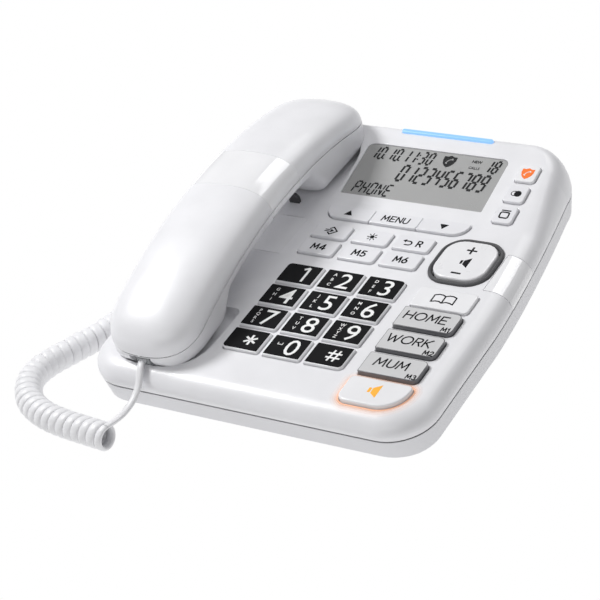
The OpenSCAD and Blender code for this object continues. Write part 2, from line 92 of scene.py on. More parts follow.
def shader(name, colour, rough, metal=0.0, coat=0.0, alpha=1.0, glow=None, glow_power=0.0, specular=0.5):
    mat = bpy.data.materials.new(name)
    mat.use_nodes = True
    nodes = mat.node_tree.nodes
    bsdf = nodes["Principled BSDF"]
    bsdf.inputs["Base Color"].default_value = (*colour, 1)
    bsdf.inputs["Roughness"].default_value = rough
    bsdf.inputs["Metallic"].default_value = metal
    bsdf.inputs["Coat Weight"].default_value = coat
    bsdf.inputs["Coat Roughness"].default_value = 0.08
    bsdf.inputs["Alpha"].default_value = alpha
    bsdf.inputs["Specular IOR Level"].default_value = specular
    if glow:
        bsdf.inputs["Emission Color"].default_value = (*glow, 1)
        bsdf.inputs["Emission Strength"].default_value = glow_power
    return mat, bsdf


def moulded(name, colour, rough, grain=0.12, grain_size=2600, spread=0.025, **more):
    """Moulded plastic: slight drift of tone and of gloss, and a fine spark-eroded grain."""
    mat, bsdf = shader(name, colour, rough, **more)
    tree = mat.node_tree
    place = tree.nodes.new("ShaderNodeTexCoord")
    drift = tree.nodes.new("ShaderNodeTexNoise")
    drift.inputs["Scale"].default_value = 55
    drift.inputs["Detail"].default_value = 4
    tone = tree.nodes.new("ShaderNodeValToRGB")
    tone.color_ramp.elements[0].position = 0.3
    tone.color_ramp.elements[1].position = 0.7
    tone.color_ramp.elements[0].color = (*[c * (1 - spread) for c in colour], 1)
    tone.color_ramp.elements[1].color = (*[min(1, c * (1 + spread)) for c in colour], 1)
    gloss = tree.nodes.new("ShaderNodeMapRange")
    gloss.inputs["To Min"].default_value = rough * 0.85
    gloss.inputs["To Max"].default_value = min(1, rough * 1.15)
    fine = tree.nodes.new("ShaderNodeTexNoise")
    fine.inputs["Scale"].default_value = grain_size
    fine.inputs["Detail"].default_value = 2
    bump = tree.nodes.new("ShaderNodeBump")
    bump.inputs["Strength"].default_value = grain
    bump.inputs["Distance"].default_value = 0.0001
    links = tree.links
    links.new(place.outputs["Object"], drift.inputs["Vector"])
    links.new(place.outputs["Object"], fine.inputs["Vector"])
    links.new(drift.outputs["Fac"], tone.inputs["Fac"])
    links.new(tone.outputs["Color"], bsdf.inputs["Base Color"])
    links.new(drift.outputs["Fac"], gloss.inputs["Value"])
    links.new(gloss.outputs["Result"], bsdf.inputs["Roughness"])
    links.new(fine.outputs["Fac"], bump.inputs["Height"])
    links.new(bump.outputs["Normal"], bsdf.inputs["Normal"])
    return mat


WHITE = moulded("white_abs", (0.80, 0.80, 0.825), 0.38, coat=0.15)
TRIM = moulded("gloss_trim", (0.86, 0.86, 0.88), 0.12, grain=0.02, coat=0.6)
# Painted shade: the bottom shell is the same white plastic, with a matter finish, coloured darker for the
# shade on its downward-facing rim.
UNDER = moulded("white_abs_rim", (0.72, 0.72, 0.745), 0.45)
# Painted shade: near-black faces inside the parting gaps, standing for the shadow that falls in the gaps.
SEAM_SHADE = moulded("seam_shadow", (0.05, 0.05, 0.055), 0.8, specular=0.1)
KEYCAP = moulded("keycap_white", (0.84, 0.84, 0.86), 0.3, grain=0.05, coat=0.2)
KEYFACE = moulded("key_print_black", (0.006, 0.006, 0.007), 0.5, grain=0.08, specular=0.1)
KEYPAD = moulded("grey_white_key", (0.79, 0.79, 0.82), 0.32, grain=0.05, coat=0.2)
INK = moulded("print_dark", (0.012, 0.012, 0.014), 0.7, specular=0.1)
INK_WHITE = moulded("print_white", (0.86, 0.86, 0.86), 0.5)
COVER = moulded("smoked_cover", (0.13, 0.13, 0.14), 0.2, coat=0.4)
PAPER = moulded("label_paper", (0.60, 0.60, 0.61), 0.5, grain=0.2, grain_size=900, coat=0.2)
LCD = moulded("lcd_grey", (0.37, 0.37, 0.37), 0.7, grain=0.02, spread=0.01, specular=0.05)
SEGMENT = moulded("lcd_segment", (0.004, 0.004, 0.005), 0.9, specular=0.0)
RING_DARK = moulded("ring_grey", (0.10, 0.10, 0.105), 0.45, specular=0.2)
# Painted shade: the handset tab is white plastic, coloured near-black here for the shade it sits in.
TAB_SHADE = moulded("tab_painted_shade", (0.06, 0.06, 0.065), 0.5)
ROCKER = moulded("rocker_white", (0.82, 0.82, 0.84), 0.28, grain=0.04, coat=0.3)
BLACK = moulded("black_plastic", (0.02, 0.02, 0.022), 0.45)
RUBBER = moulded("black_rubber", (0.025, 0.025, 0.026), 0.8, grain=0.5, grain_size=700)
STEEL = moulded("zinc_steel", (0.56, 0.56, 0.57), 0.3, metal=1.0)
BOARD = moulded("board_green", (0.03, 0.16, 0.07), 0.4)
SILICONE = moulded("silicone_grey", (0.5, 0.5, 0.5), 0.6)
CORD = moulded("cord_vinyl", (0.80, 0.80, 0.82), 0.4, grain=0.1, grain_size=1400)
CLEAR = moulded("clear_plug", (0.72, 0.75, 0.76), 0.12, grain=0.02, alpha=0.35)
GLASS = shader("window_clear", (0.9, 0.92, 0.92), 0.12, alpha=0.02, specular=0.05)[0]
BLUE = moulded("ringer_light", (0.06, 0.12, 0.20), 0.3, grain=0.02, glow=(0.27, 0.55, 1.0), glow_power=0.95)
AMBER = moulded("lit_amber", (0.90, 0.42, 0.03), 0.5, grain=0.02, glow=(1.0, 0.5, 0.05), glow_power=0.12)
ORANGE = moulded("lit_orange", (0.84, 0.16, 0.01), 0.5, grain=0.02, glow=(1.0, 0.2, 0.02), glow_power=0.1)
# Painted light: glowing see-through amber sheets, fainter outwards, that stand for the hands-free key's
# light falling on the deck.
HALOS = [
    shader(f"amber_glow_{k}", (0.95, 0.5, 0.3), 0.5, alpha=alpha, glow=(1.0, 0.5, 0.28), glow_power=0.25)[0]
    for k, alpha in enumerate((0.75, 0.45, 0.26, 0.13, 0.05))
]

# ---------------------------------------------------------------- meshes
PRINT_THICK = 0.04
LETTER_GAP = 0.28
WORD_DEPTH = 0.05


def make(name, build, materials, body="base", stands_for=(), space=DECK, crease=32):
    """One piece from a bmesh drawn in deck millimetres by build(bm)."""
    mesh = bpy.data.meshes.new(name)
    bm = bmesh.new()
    build(bm)
    bm.transform(space)
    bmesh.ops.recalc_face_normals(bm, faces=bm.faces)
    bm.to_mesh(mesh)
    bm.free()
    obj = bpy.data.objects.new(name, mesh)
    bpy.context.collection.objects.link(obj)
    for mat in materials:
        mesh.materials.append(mat)
    finish_piece(obj, body, stands_for, crease)
    return obj


def shade(obj, crease=32):
    mesh = obj.data
    for poly in mesh.polygons:
        poly.use_smooth = True
    mesh.set_sharp_from_angle(angle=math.radians(crease))


def finish_piece(obj, body, stands_for, crease=32):
    shade(obj, crease)
    if body:
        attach(obj, body)
    if stands_for:
        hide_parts(*stands_for)


def bend(cx, cy, rx, ry, a0, a1, n=8):
    """Points along part of an ellipse, from angle a0 to a1 in degrees."""
    turns = [math.radians(a0 + (a1 - a0) * k / n) for k in range(n + 1)]
    return [(cx + rx * math.cos(a), cy + ry * math.sin(a)) for a in turns]


def finish_shell(obj, body, stands_for, crease=30):
    """Finishes a cut casing part, with normals that keep its broad faces smooth beside the cuts."""
    finish_piece(obj, body, stands_for, crease)
    obj.modifiers.new("normals", "WEIGHTED_NORMAL").keep_sharp = True


def arc(cx, cy, r, a0, a1, n):
    return bend(cx, cy, r, r, a0, a1, n)


def rounded(w, h, radii, i=0.0, n=6):
    """Rounded rectangle drawn in by i; radii are top right, top left, bottom left, bottom right."""
    if not isinstance(radii, (list, tuple)):
        radii = [radii] * 4
    tr, tl, bl, br = [max(r - i, 0.15) for r in radii]
    x, y = w / 2 - i, h / 2 - i
    return (arc(x - tr, y - tr, tr, 0, 90, n) + arc(tl - x, y - tl, tl, 90, 180, n)
            + arc(bl - x, bl - y, bl, 180, 270, n) + arc(x - br, br - y, br, 270, 360, n))


def skin(bm, rings, mat=0, caps=(True, True)):
    """Quads between rings of 3D points; caps says whether a face closes the first and the last ring."""
    rows = [[bm.verts.new(p) for p in ring] for ring in rings]
    n = len(rows[0])
    for a, b in zip(rows, rows[1:]):
        for j in range(n):
            k = (j + 1) % n
            bm.faces.new((a[j], a[k], b[k], b[j])).material_index = mat
    if caps[0]:
        bm.faces.new(list(reversed(rows[0]))).material_index = mat
    if caps[1]:
        bm.faces.new(rows[-1]).material_index = mat
    return rows


def at_height(outline, w, x=0.0, v=0.0):
    return [(p[0] + x, p[1] + v, w) for p in outline]


def pad(bm, outline, x, v, bottom, top, edge=0.5, steps=4, face_in=0.25, crown=0.0):
    """A cap with a rounded top edge. outline(i) is its outline drawn in by i."""
    rings = [at_height(outline(0), bottom, x, v)]
    for k in range(steps + 1):
        a = math.pi / 2 * k / steps
        rings.append(at_height(outline(edge * (1 - math.cos(a))), top - edge * (1 - math.sin(a)), x, v))
    rings.append(at_height(outline(edge + face_in), top + crown, x, v))
    skin(bm, rings[:-1], caps=(True, False))
    skin(bm, rings[-2:], caps=(False, True))


def slab(bm, polygon, x, v, w, thick, mat):
    """A thin raised print in the outline of a polygon, counter-clockwise."""
    area = sum(p[0] * q[1] - q[0] * p[1] for p, q in zip(polygon, polygon[1:] + polygon[:1]))
    polygon = polygon if area > 0 else polygon[::-1]
    skin(bm, [at_height(polygon, w - 0.1, x, v), at_height(polygon, w + thick, x, v)], mat)


def stroke(bm, points, width, x, v, w, mat, thick=PRINT_THICK, closed=False, round_ends=True):
    """A line of print with that width through the points."""
    pairs = list(zip(points, points[1:]))
    if closed:
        pairs.append((points[-1], points[0]))
    half = width / 2
    for k, (p, q) in enumerate(pairs):
        d = Vector((q[0] - p[0], q[1] - p[1]))
        if d.length < 1e-6:
            continue
        d = d.normalized() * half
        e = d * (0.8 if round_ends else 0)
        box = [(p[0] - e.x + d.y, p[1] - e.y - d.x), (q[0] + e.x + d.y, q[1] + e.y - d.x),
               (q[0] + e.x - d.y, q[1] + e.y + d.x), (p[0] - e.x - d.y, p[1] - e.y + d.x)]
        slab(bm, box, x, v, w, thick + 0.002 * (k % 3), mat)


def words(bm, text, size, x, v, w, mat, wide=1.0, bold=0.0):
    """Flat lettering centred at (x, v)."""
    curve = bpy.data.curves.new("words", "FONT")
    curve.body = text
    curve.size = size
    curve.extrude = WORD_DEPTH
    curve.offset = bold
    curve.resolution_u = 3
    curve.align_x = "CENTER"
    curve.align_y = "CENTER"
    holder = bpy.data.objects.new("words", curve)
    bpy.context.collection.objects.link(holder)
    mesh = bpy.data.meshes.new_from_object(holder)
    bpy.data.objects.remove(holder)
    xs = [p.co.x for p in mesh.vertices]
    ys = [p.co.y for p in mesh.vertices]
    middle = Vector(((min(xs) + max(xs)) / 2, (min(ys) + max(ys)) / 2, 0))
    mesh.transform(Matrix.Translation((x, v, w + PRINT_THICK - WORD_DEPTH))
                   @ Matrix.Diagonal((wide, 1, 1, 1)) @ Matrix.Translation(-middle))
    before = len(bm.faces)
    bm.from_mesh(mesh)
    bm.faces.ensure_lookup_table()
    for face in bm.faces[before:]:
        face.material_index = mat
    bpy.data.meshes.remove(mesh)
    bpy.data.curves.remove(curve)


# Letters as strokes in a box one high: name -> (width, lines)
DRAWN = {
    "E": (0.6, [[(0.6, 1), (0, 1), (0, 0), (0.6, 0)], [(0, 0.5), (0.5, 0.5)]]),
    "H": (0.7, [[(0, 0), (0, 1)], [(0.7, 0), (0.7, 1)], [(0, 0.5), (0.7, 0.5)]]),
    "K": (0.62, [[(0, 0), (0, 1)], [(0.6, 1), (0, 0.42)], [(0.16, 0.56), (0.64, 0)]]),
    "M": (0.9, [[(0, 0), (0.1, 1), (0.45, 0.25), (0.8, 1), (0.9, 0)]]),
    "N": (0.7, [[(0, 0), (0, 1), (0.7, 0), (0.7, 1)]]),
    "O": (0.95, [bend(0.475, 0.5, 0.475, 0.5, 0, 360, 20)]),
    "R": (0.6, [[(0, 0), (0, 1)] + bend(0.3, 0.74, 0.27, 0.26, 90, -90) + [(0, 0.48)],
                [(0.3, 0.48), (0.6, 0)]]),
    "U": (0.7, [[(0, 1)] + bend(0.35, 0.35, 0.35, 0.35, 180, 360) + [(0.7, 1)]]),
    "W": (1.1, [[(0, 1), (0.28, 0), (0.55, 0.85), (0.82, 0), (1.1, 1)]]),
    "1": (0.3, [[(0, 0.78), (0.25, 1), (0.25, 0)]]),
    "2": (0.6, [bend(0.3, 0.7, 0.28, 0.3, 160, -30) + [(0, 0), (0.62, 0)]]),
    "3": (0.6, [bend(0.28, 0.75, 0.24, 0.25, 150, -80), bend(0.28, 0.26, 0.3, 0.27, 80, -150)]),
    "4": (0.7, [[(0.52, 0), (0.52, 1), (0, 0.28), (0.72, 0.28)]]),
    "5": (0.6, [[(0.55, 1), (0.12, 1), (0.06, 0.52)] + bend(0.27, 0.32, 0.32, 0.32, 120, -150)]),
    "6": (0.62, [[(0.45, 1), (0.07, 0.45)], bend(0.31, 0.31, 0.3, 0.31, 0, 360, 16)]),
}


def lettering(bm, text, height, width, x, v, w, mat, slant=0.0, wide=1.0):
    """Lettering drawn with strokes, centred at (x, v)."""
    total = sum(DRAWN[c][0] for c in text) * wide + LETTER_GAP * (len(text) - 1)
    start = -total / 2
    for char in text:
        span, lines = DRAWN[char]
        for line in lines:
            pts = [((start + p[0] * wide + slant * (p[1] - 0.5)) * height, (p[1] - 0.5) * height)
                   for p in line]
            stroke(bm, pts, width, x, v, w, mat)
        start += span * wide + LETTER_GAP


def cut(obj, cutter, operation="DIFFERENCE"):
    """Cuts the mesh of obj with cutter, and deletes the cutter."""
    mod = obj.modifiers.new("cut", "BOOLEAN")
    mod.object = cutter
    mod.operation = operation
    mod.solver = "EXACT"
    bpy.context.view_layer.update()
    graph = bpy.context.evaluated_depsgraph_get()
    mesh = bpy.data.meshes.new_from_object(obj.evaluated_get(graph))
    obj.modifiers.clear()
    old = obj.data
    obj.data = mesh
    mesh.name = obj.name
    bpy.data.meshes.remove(old)
    bpy.data.objects.remove(cutter)


def scratch(name, build, space=DECK):
    """A cutting shape that cut() uses up."""
    return make(name, build, (), body=None, space=space)


# ---------------------------------------------------------------- cord
COIL_R = 7.25
COIL_WIRE = (5.3, 2.3)
TAIL_WIRE = (3.8, 2.4)
TURN_R = COIL_R - COIL_WIRE[1] / 2
TURNS = 31.5
STEPS_PER_TURN = 20
COIL_ROUTE = [
    (-58.1, -138.9), (-67.1, -138.2), (-76.1, -137.4), (-86.1, -136.4), (-96.6, -134.6), (-107.1, -131.2),
    (-116.6, -125.9), (-124.1, -118.4), (-129.1, -109.9), (-130.6, -100.9), (-129.1, -91.9), (-126.1, -83.4),
    (-123.1, -74.9), (-120.1, -66.4), (-117.9, -57.4), (-116.1, -48.4), (-115.1, -40.4), (-114.6, -32.4),
]
TAIL_ROUTE = [
    (-60, -100, 26.4), (-59, -103.5, 25.6), (-57.6, -107.6, 22.3), (-56.8, -111.5, 18.6),
    (-56.6, -116, 15.6), (-56.9, -121, 13.4), (-57.3, -126.5, 12.3), (-57.8, -132, 12.3),
    (-58.1, -136, 12.8), (-58.3, -138.7, 13.2),
]
WIRE_SIDES = 12
WIRE_ROUND = 0.9
TAPER_START, TAPER_END = 12, 60
LEAD_ROUTE = [
    (-110.9, -31.6, 1.4), (-108.3, -28.5, 1.7), (-107.2, -23, 2.4), (-106, -17, 3.8), (-103.2, -11.5, 5.6),
    (-98.3, -7.9, 7), (-91.5, -6.2, 7.5), (-84.6, -6.1, 7.5),
]


def smooth_route(points, per_span):
    """Catmull-Rom points through a route."""
    pts = [Vector(p) for p in points]
    pts = [2 * pts[0] - pts[1]] + pts + [2 * pts[-1] - pts[-2]]
    out = []
    for k in range(1, len(pts) - 2):
        a, b, c, d = pts[k - 1:k + 3]
        for j in range(per_span):
            t = j / per_span
            out.append(0.5 * (2 * b + (c - a) * t + (2 * a - 5 * b + 4 * c - d) * t * t
                              + (3 * b - a - 3 * c + d) * t ** 3))
    out.append(pts[-2])
    return out


def evenly(points, count):
    """count + 1 points a constant length apart along a line of points."""
    runs = [0.0]
    for a, b in zip(points, points[1:]):
        runs.append(runs[-1] + (b - a).length)
    out = []
    k = 0
    for j in range(count + 1):
        s = runs[-1] * j / count
        while k < len(runs) - 2 and runs[k + 1] < s:
            k += 1
        t = (s - runs[k]) / max(runs[k + 1] - runs[k], 1e-9)
        out.append(points[k].lerp(points[k + 1], t))
    return out


def wire(bm, points, wides, size):
    """A flattened wire along points; wides gives the direction of its width at each point.

    Its width falls off to the tail's over the first and the last few points.
    """
    narrow = TAIL_WIRE[0] / size[0]
    last = len(points) - 1
    rings = []
    for k, p in enumerate(points):
        run = (points[min(k + 1, last)] - points[max(k - 1, 0)]).normalized()
        wide = (wides[k] - run * wides[k].dot(run)).normalized()
        thick = run.cross(wide)
        taper = narrow + (1 - narrow) * min(1, k / TAPER_START, (last - k) / TAPER_END)
        ring = []
        for j in range(WIRE_SIDES):
            a = 2 * math.pi * j / WIRE_SIDES
            c, s = math.cos(a), math.sin(a)
            ring.append(p + wide * (math.copysign(abs(c) ** WIRE_ROUND, c) * size[0] / 2 * taper)
                        + thick * (math.copysign(abs(s) ** WIRE_ROUND, s) * size[1] / 2))
        rings.append(ring)
    skin(bm, rings)


def coil_line():
    """The helix along the coil's route, then the lead to the base's socket."""
    count = int(TURNS * STEPS_PER_TURN)
    core = evenly(smooth_route([(x, y, COIL_R) for x, y in COIL_ROUTE], 12), count)
    up = Vector((0, 0, 1))
    points, wides = [], []
    for k, c in enumerate(core):
        run = (core[min(k + 1, count)] - core[max(k - 1, 0)]).normalized()
        side = up.cross(run)
        a = 2 * math.pi * TURNS * k / count
        points.append(c + TURN_R * (math.cos(a) * up + math.sin(a) * side))
        wides.append(run)
    lead = smooth_route([points[-1]] + [Vector(p) for p in LEAD_ROUTE], 5)[1:]
    wide = wides[-1]
    last = points[-1]
    for k, p in enumerate(lead):
        run = (p - last).normalized()
        wide = (wide - run * wide.dot(run)).normalized()
        points.append(p)
        wides.append(wide)
        last = p
    return points, wides


def make_cord():
    points, wides = coil_line()
    coil = make("curly_cord", lambda bm: wire(bm, points, wides, COIL_WIRE), [CORD], "base",
                ["cord_coil", "cord_lead"], ROW, crease=60)
    tail_points = smooth_route(TAIL_ROUTE, 5)
    across = [Vector((1, 0, 0))] * len(tail_points)
    tail = make("cord_tail_wire", lambda bm: wire(bm, tail_points, across, TAIL_WIRE), [CORD], None,
                ["cord_tail"], ROW, crease=60)
    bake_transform(tail)


make_cord()

# ---------------------------------------------------------------- base casing
HALF_W = 97.0
FRONT_V = 63.5
REAR_V = 150.0
FRONT_R = 23.0
REAR_R = 26.0
SHOULDER = 11.0
BELT_W = -8.5
PARTING = 11.0
RIM = 22.5
RIM_IN = 2.5
UNDER_IN = 32
WALL = 2.2
FOOT = 1.5
WIDE = (-300, 300)
SOCKET_MOUTHS = [((-114, -68.6), (30, 42), (-32.6, -23.4)), ((10, 22), (123.5, 170), (-33, -23.8)),
                 ((30.5, 41.5), (123.5, 170), (-33, -23.8))]
GRILLE_AT, GRILLE_PITCH, GRILLE_R = (-50, -44), 5, 1.2
FEET, FOOT_R = [(-78, -88), (78, -88), (-50, 66), (50, 66)], 6.05
TAPER_V = 16.0
TAPER_LEN = 109.0
TAPER = 12.0
SIDE_STOPS = [TAPER_V, 24, 32, 40, 48, 56, 64, 72, 77, 80, 82, 83.5, 85, 87, 90, 96, 103, 110, 117, 123]
CREASE_SOFT = 2.4
TUCK = 0.4


def half_at(v):
    """Half the base's width at v: straight, then drawn in towards the rear."""
    return HALF_W - TAPER * max(0, (v - TAPER_V) / TAPER_LEN) ** 1.5


def lift(v):
    """Height of the deck at v: flat, then the display's slope, with a soft crease."""
    d = v - CREASE_V
    return math.tan(SCREEN_TILT) * 0.5 * (d + math.sqrt(d * d + CREASE_SOFT * CREASE_SOFT))


def outline(i, n=12):
    """The base's outline drawn in by i, all round, starting at the front."""
    rf, rr = max(FRONT_R - i, 1), max(REAR_R - i, 1)
    rear_x = half_at(REAR_V - REAR_R) - i - rr
    right = arc(HALF_W - i - rf, i + rf - FRONT_V, rf, -90, 0, n)
    right += [(half_at(v) - i, v) for v in SIDE_STOPS]
    right += arc(rear_x, REAR_V - i - rr, rr, 0, 90, n)
    return right + [(-x, v) for x, v in reversed(right)]


def deck_ring(i, share, d):
    """A ring of the shoulder, that share of the way from the belt up to the deck less d."""
    return [(x, v, BELT_W + share * (lift(v) - d - BELT_W)) for x, v in outline(i)]


def strips(bm, row, flip=False):
    """Closes a ring of the mirrored outline with quads from side to side."""
    n = len(row)
    for j in range(n // 2 - 1):
        face = (row[j], row[j + 1], row[n - 2 - j], row[n - 1 - j])
        bm.faces.new(face[::-1] if flip else face)


def upper_body(bm, d, w0, steps=14, lip=0.0):
    """The upper casing's solid, drawn in by d, from height w0 up."""
    rings = [at_height(outline(d + TUCK + lip), w0), at_height(outline(d + TUCK), w0 + lip),
             at_height(outline(d), BELT_W)]
    if not lip:
        rings = rings[1:]
    for k in range(1, steps + 1):
        a = math.pi / 2 * k / steps
        rings.append(deck_ring(d + SHOULDER * (1 - math.cos(a)), math.sin(a), d))
    rows = skin(bm, rings, caps=(False, False))
    strips(bm, rows[0], flip=True)
    strips(bm, rows[-1])


def box(bm, x, v, w):
    corners = [(x[0], v[0]), (x[1], v[0]), (x[1], v[1]), (x[0], v[1])]
    skin(bm, [at_height(corners, h) for h in w])


def hole(bm, w, h, r, x, v, flare=0.35, depth=-9.0, top=9.0, surface=0.0):
    """A cutter for a key's hole, opening out a little at the surface."""
    rings = [at_height(rounded(w, h, r), height, x, v) for height in (depth, surface - flare)]
    for k in range(1, 4):
        a = math.pi / 2 * k / 3
        rings.append(at_height(rounded(w, h, r, -flare * (1 - math.cos(a))),
                               surface - flare + flare * math.sin(a), x, v))
    rings.append(at_height(rounded(w, h, r, -flare), top, x, v))
    skin(bm, rings)


# Keys: name -> (x, v, width, height, corner radii) in the deck frame
PAD_X, PAD_COL, PAD_ROW = 7.5, 24.0, 17.5
KEY_W, KEY_H = 21.2, 15.0
SIDE_X, SIDE_W, SIDE_H = 67.0, 32.0, 14.5
FUNC_X, FUNC_COL = 5.8, 24.3
NAV_X, NAV_COL, NAV_W, NAV_H, NAV_V = 11.0, 27.9, 27.5, 9.4, 78.5
FREE_V, FREE_W, FREE_H = -45.0, 33.6, 17.0
GAP = 0.4
TOP = 2.2
FOOT_W = -3.8
SHARP, SOFT = 0.8, 2.6

NUMBERS = {}
for row, names in enumerate([("1", "2", "3"), ("4", "5", "6"), ("7", "8", "9"), ("star", "0", "hash")]):
    for col, key in enumerate(names):
        radii = [SOFT if (row, col) == corner else SHARP for corner in [(0, 2), (0, 0), (3, 0), (3, 2)]]
        NUMBERS[f"key_{key}"] = (PAD_X + (col - 1) * PAD_COL, (1.5 - row) * PAD_ROW, KEY_W, KEY_H, radii)
FUNCTIONS = {}
for col, key in enumerate(["redial", "brightness", "flash"]):
    FUNCTIONS[f"key_{key}"] = (FUNC_X + (col - 1) * FUNC_COL, 62.5, 21.0, 10.6, [1.2, 1.2, 1.6, 1.6])
for col, key in enumerate(["m4", "m5", "m6"]):
    FUNCTIONS[f"key_{key}"] = (FUNC_X + (col - 1) * FUNC_COL, 48.9, 21.0, 11.2, [1.2, 1.2, 1.6, 1.6])
NAVS = {}
for col, key in enumerate(["up", "menu", "down"]):
    radii = [0.5, 0.5, 8.0 if col == 0 else 0.5, 8.0 if col == 2 else 0.5]
    NAVS[f"key_{key}"] = (NAV_X + (col - 1) * NAV_COL, NAV_V, NAV_W, NAV_H, radii)
SIDES = {"key_phonebook": (SIDE_X, 25.4, SIDE_W, SIDE_H, 2.0)}
NAMED = {f"key_m{k}": (SIDE_X, (1.5 - k) * PAD_ROW, SIDE_W, SIDE_H, [3.0, 0.8, 0.8, 3.0]) for k in (1, 2, 3)}
SMALLS = {f"key_{key}": (67.0, 9.8 + 14.4 * k, 11.4, 11.4, 2.0)
          for k, key in enumerate(["clear", "toggle", "block"])}


def free_outline(i):
    w, h = FREE_W / 2, FREE_H / 2
    return (arc(w - 2.5, h - 2.5, 2.5 - i, 0, 90, 5) + arc(2.5 - w, h - 2.5, 2.5 - i, 90, 180, 5)
            + arc(5 - w, 5 - h, 5 - i, 180, 270, 7) + arc(w - 14, 14 - h, 14 - i, 270, 360, 14))


def cap_outline(w, h, radii):
    return lambda i: rounded(w, h, radii, i)


ROCKER_X, ROCKER_V, ROCKER_W, RING_IN, RING_W, RING_R = 63.5, 55.4, 29.2, 30.8, 34.6, 12.0
LCD_X, LCD_S, LCD_W, LCD_H = 11.0, 28.7, 84.0, 37.0
BAR_W, BAR_S, BAR_D = 55.0, 58.0, 2.8
HS_X, HS_W = -60.0, 52.0
MOUTH_V, EAR_V, MOUTH_FLOOR, EAR_FLOOR, WELL_GAP = (-53.5, -6.0), (84.0, 137.0), -4.0, 1.0, 1.3
TRIM_RIGHT, TRIM_LEFT = (81.5, (38.0, 66.5)), (-38.0, (40.5, 71.0))


def deck_holes(bm):
    for group in (NUMBERS, FUNCTIONS, SIDES, NAMED):
        for x, v, w, h, radii in group.values():
            big = [r + GAP for r in radii] if isinstance(radii, list) else radii + GAP
            hole(bm, w + 2 * GAP, h + 2 * GAP, big, x, v)
    hole(bm, 2 * NAV_COL + NAV_W + 2 * GAP, NAV_H + 2 * GAP, [0.9, 0.9, 8.4, 8.4], NAV_X, NAV_V, top=3)
    profile = ((0, -9), (0, -0.4), (0.12, -0.12), (0.4, 0), (0.4, 9))
    skin(bm, [at_height(free_outline(-GAP - out), height, SIDE_X, FREE_V) for out, height in profile])
    hole(bm, RING_IN, RING_IN, RING_R - 2, ROCKER_X, ROCKER_V, flare=0)


def ring_recess(bm):
    hole(bm, RING_W, RING_W, RING_R, ROCKER_X, ROCKER_V, depth=-1.2, flare=0.5)


def screen_holes(bm):
    for x, v, w, h, r in SMALLS.values():
        hole(bm, w + 2 * GAP, h + 2 * GAP, r + GAP, x, v)
    hole(bm, BAR_W, BAR_D, 1.3, LCD_X, BAR_S, flare=0.2)


def lcd_recess(bm):
    hole(bm, LCD_W, LCD_H, [3.6, 3.6, 0.6, 0.6], LCD_X, LCD_S, depth=-1.6, flare=0.3)


def wells(bm):
    """The two hollows in the deck that the handset lies in."""
    half = HS_W / 2 + WELL_GAP
    rests = ((MOUTH_V, MOUTH_FLOOR, [4, 4, 22, 22]), (EAR_V, EAR_FLOOR, [22, 22, 4, 4]))
    for (v0, v1), floor, radii in rests:
        v0, v1 = v0 - WELL_GAP, v1 + WELL_GAP
        rings = []
        for i, w in ((2.2, floor), (1.0, floor + 0.25), (0.3, floor + 1.0), (0, floor + 2.2), (0, 40)):
            rings.append(at_height(rounded(2 * half, v1 - v0, radii, i), w, HS_X, (v0 + v1) / 2))
        skin(bm, rings)


def trim_blocks(bm, gap=0.0):
    """Both side trims; the left one meets the deck closely along its inner edge."""
    x, (v0, v1) = TRIM_RIGHT
    box(bm, (x + gap, 110), (v0 + gap, v1 - gap), (-PARTING - 2, 12))
    x, (v0, v1) = TRIM_LEFT
    box(bm, (-110, x - gap / 20), (v0 + gap, v1 - gap), (-PARTING - 2, 12))


def make_top_shell():
    shell = make("base_casing_top", lambda bm: upper_body(bm, 0, -PARTING + 0.15, lip=0.3), [WHITE], None)
    inner = scratch("inner", lambda bm: upper_body(bm, WALL, -PARTING - 3, steps=6))
    keep = scratch("keep", lambda bm: [
        box(bm, (HS_X - 29.6, HS_X + 29.6), (v0 - 3.6, v1 + 3.6), (f - WALL, 40))
        for (v0, v1), f in ((MOUTH_V, MOUTH_FLOOR), (EAR_V, EAR_FLOOR))])
    cut(inner, keep)
    cut(shell, inner)
    cut(shell, scratch("wells", wells))
    cut(shell, scratch("keys", deck_holes))
    cut(shell, scratch("ring", ring_recess))
    cut(shell, scratch("screen", screen_holes, space=SCREEN))
    cut(shell, scratch("lcd", lcd_recess, space=SCREEN))
    blocks = scratch("blocks", trim_blocks)
    cut(blocks, scratch("under_trim", lambda bm: upper_body(bm, 1.2, -PARTING - 4)))
    cut(shell, blocks)
    cut(shell, scratch("hook", lambda bm: hole(bm, 10.2, 6.2, 1, HS_X, 114, flare=0.3, surface=EAR_FLOOR)))
    finish_shell(shell, "base", ["base_top_shell"])
    trims = make("side_trim_pieces", lambda bm: upper_body(bm, 0, -PARTING + 0.15, lip=0.3), [TRIM], None)
    tool = scratch("blocks", lambda bm: trim_blocks(bm, 0.28))
    cut(tool, scratch("under_trim", lambda bm: upper_body(bm, 1.25, -PARTING - 4)))
    cut(trims, tool, "INTERSECT")
    finish_shell(trims, "base", ["side_trims"])


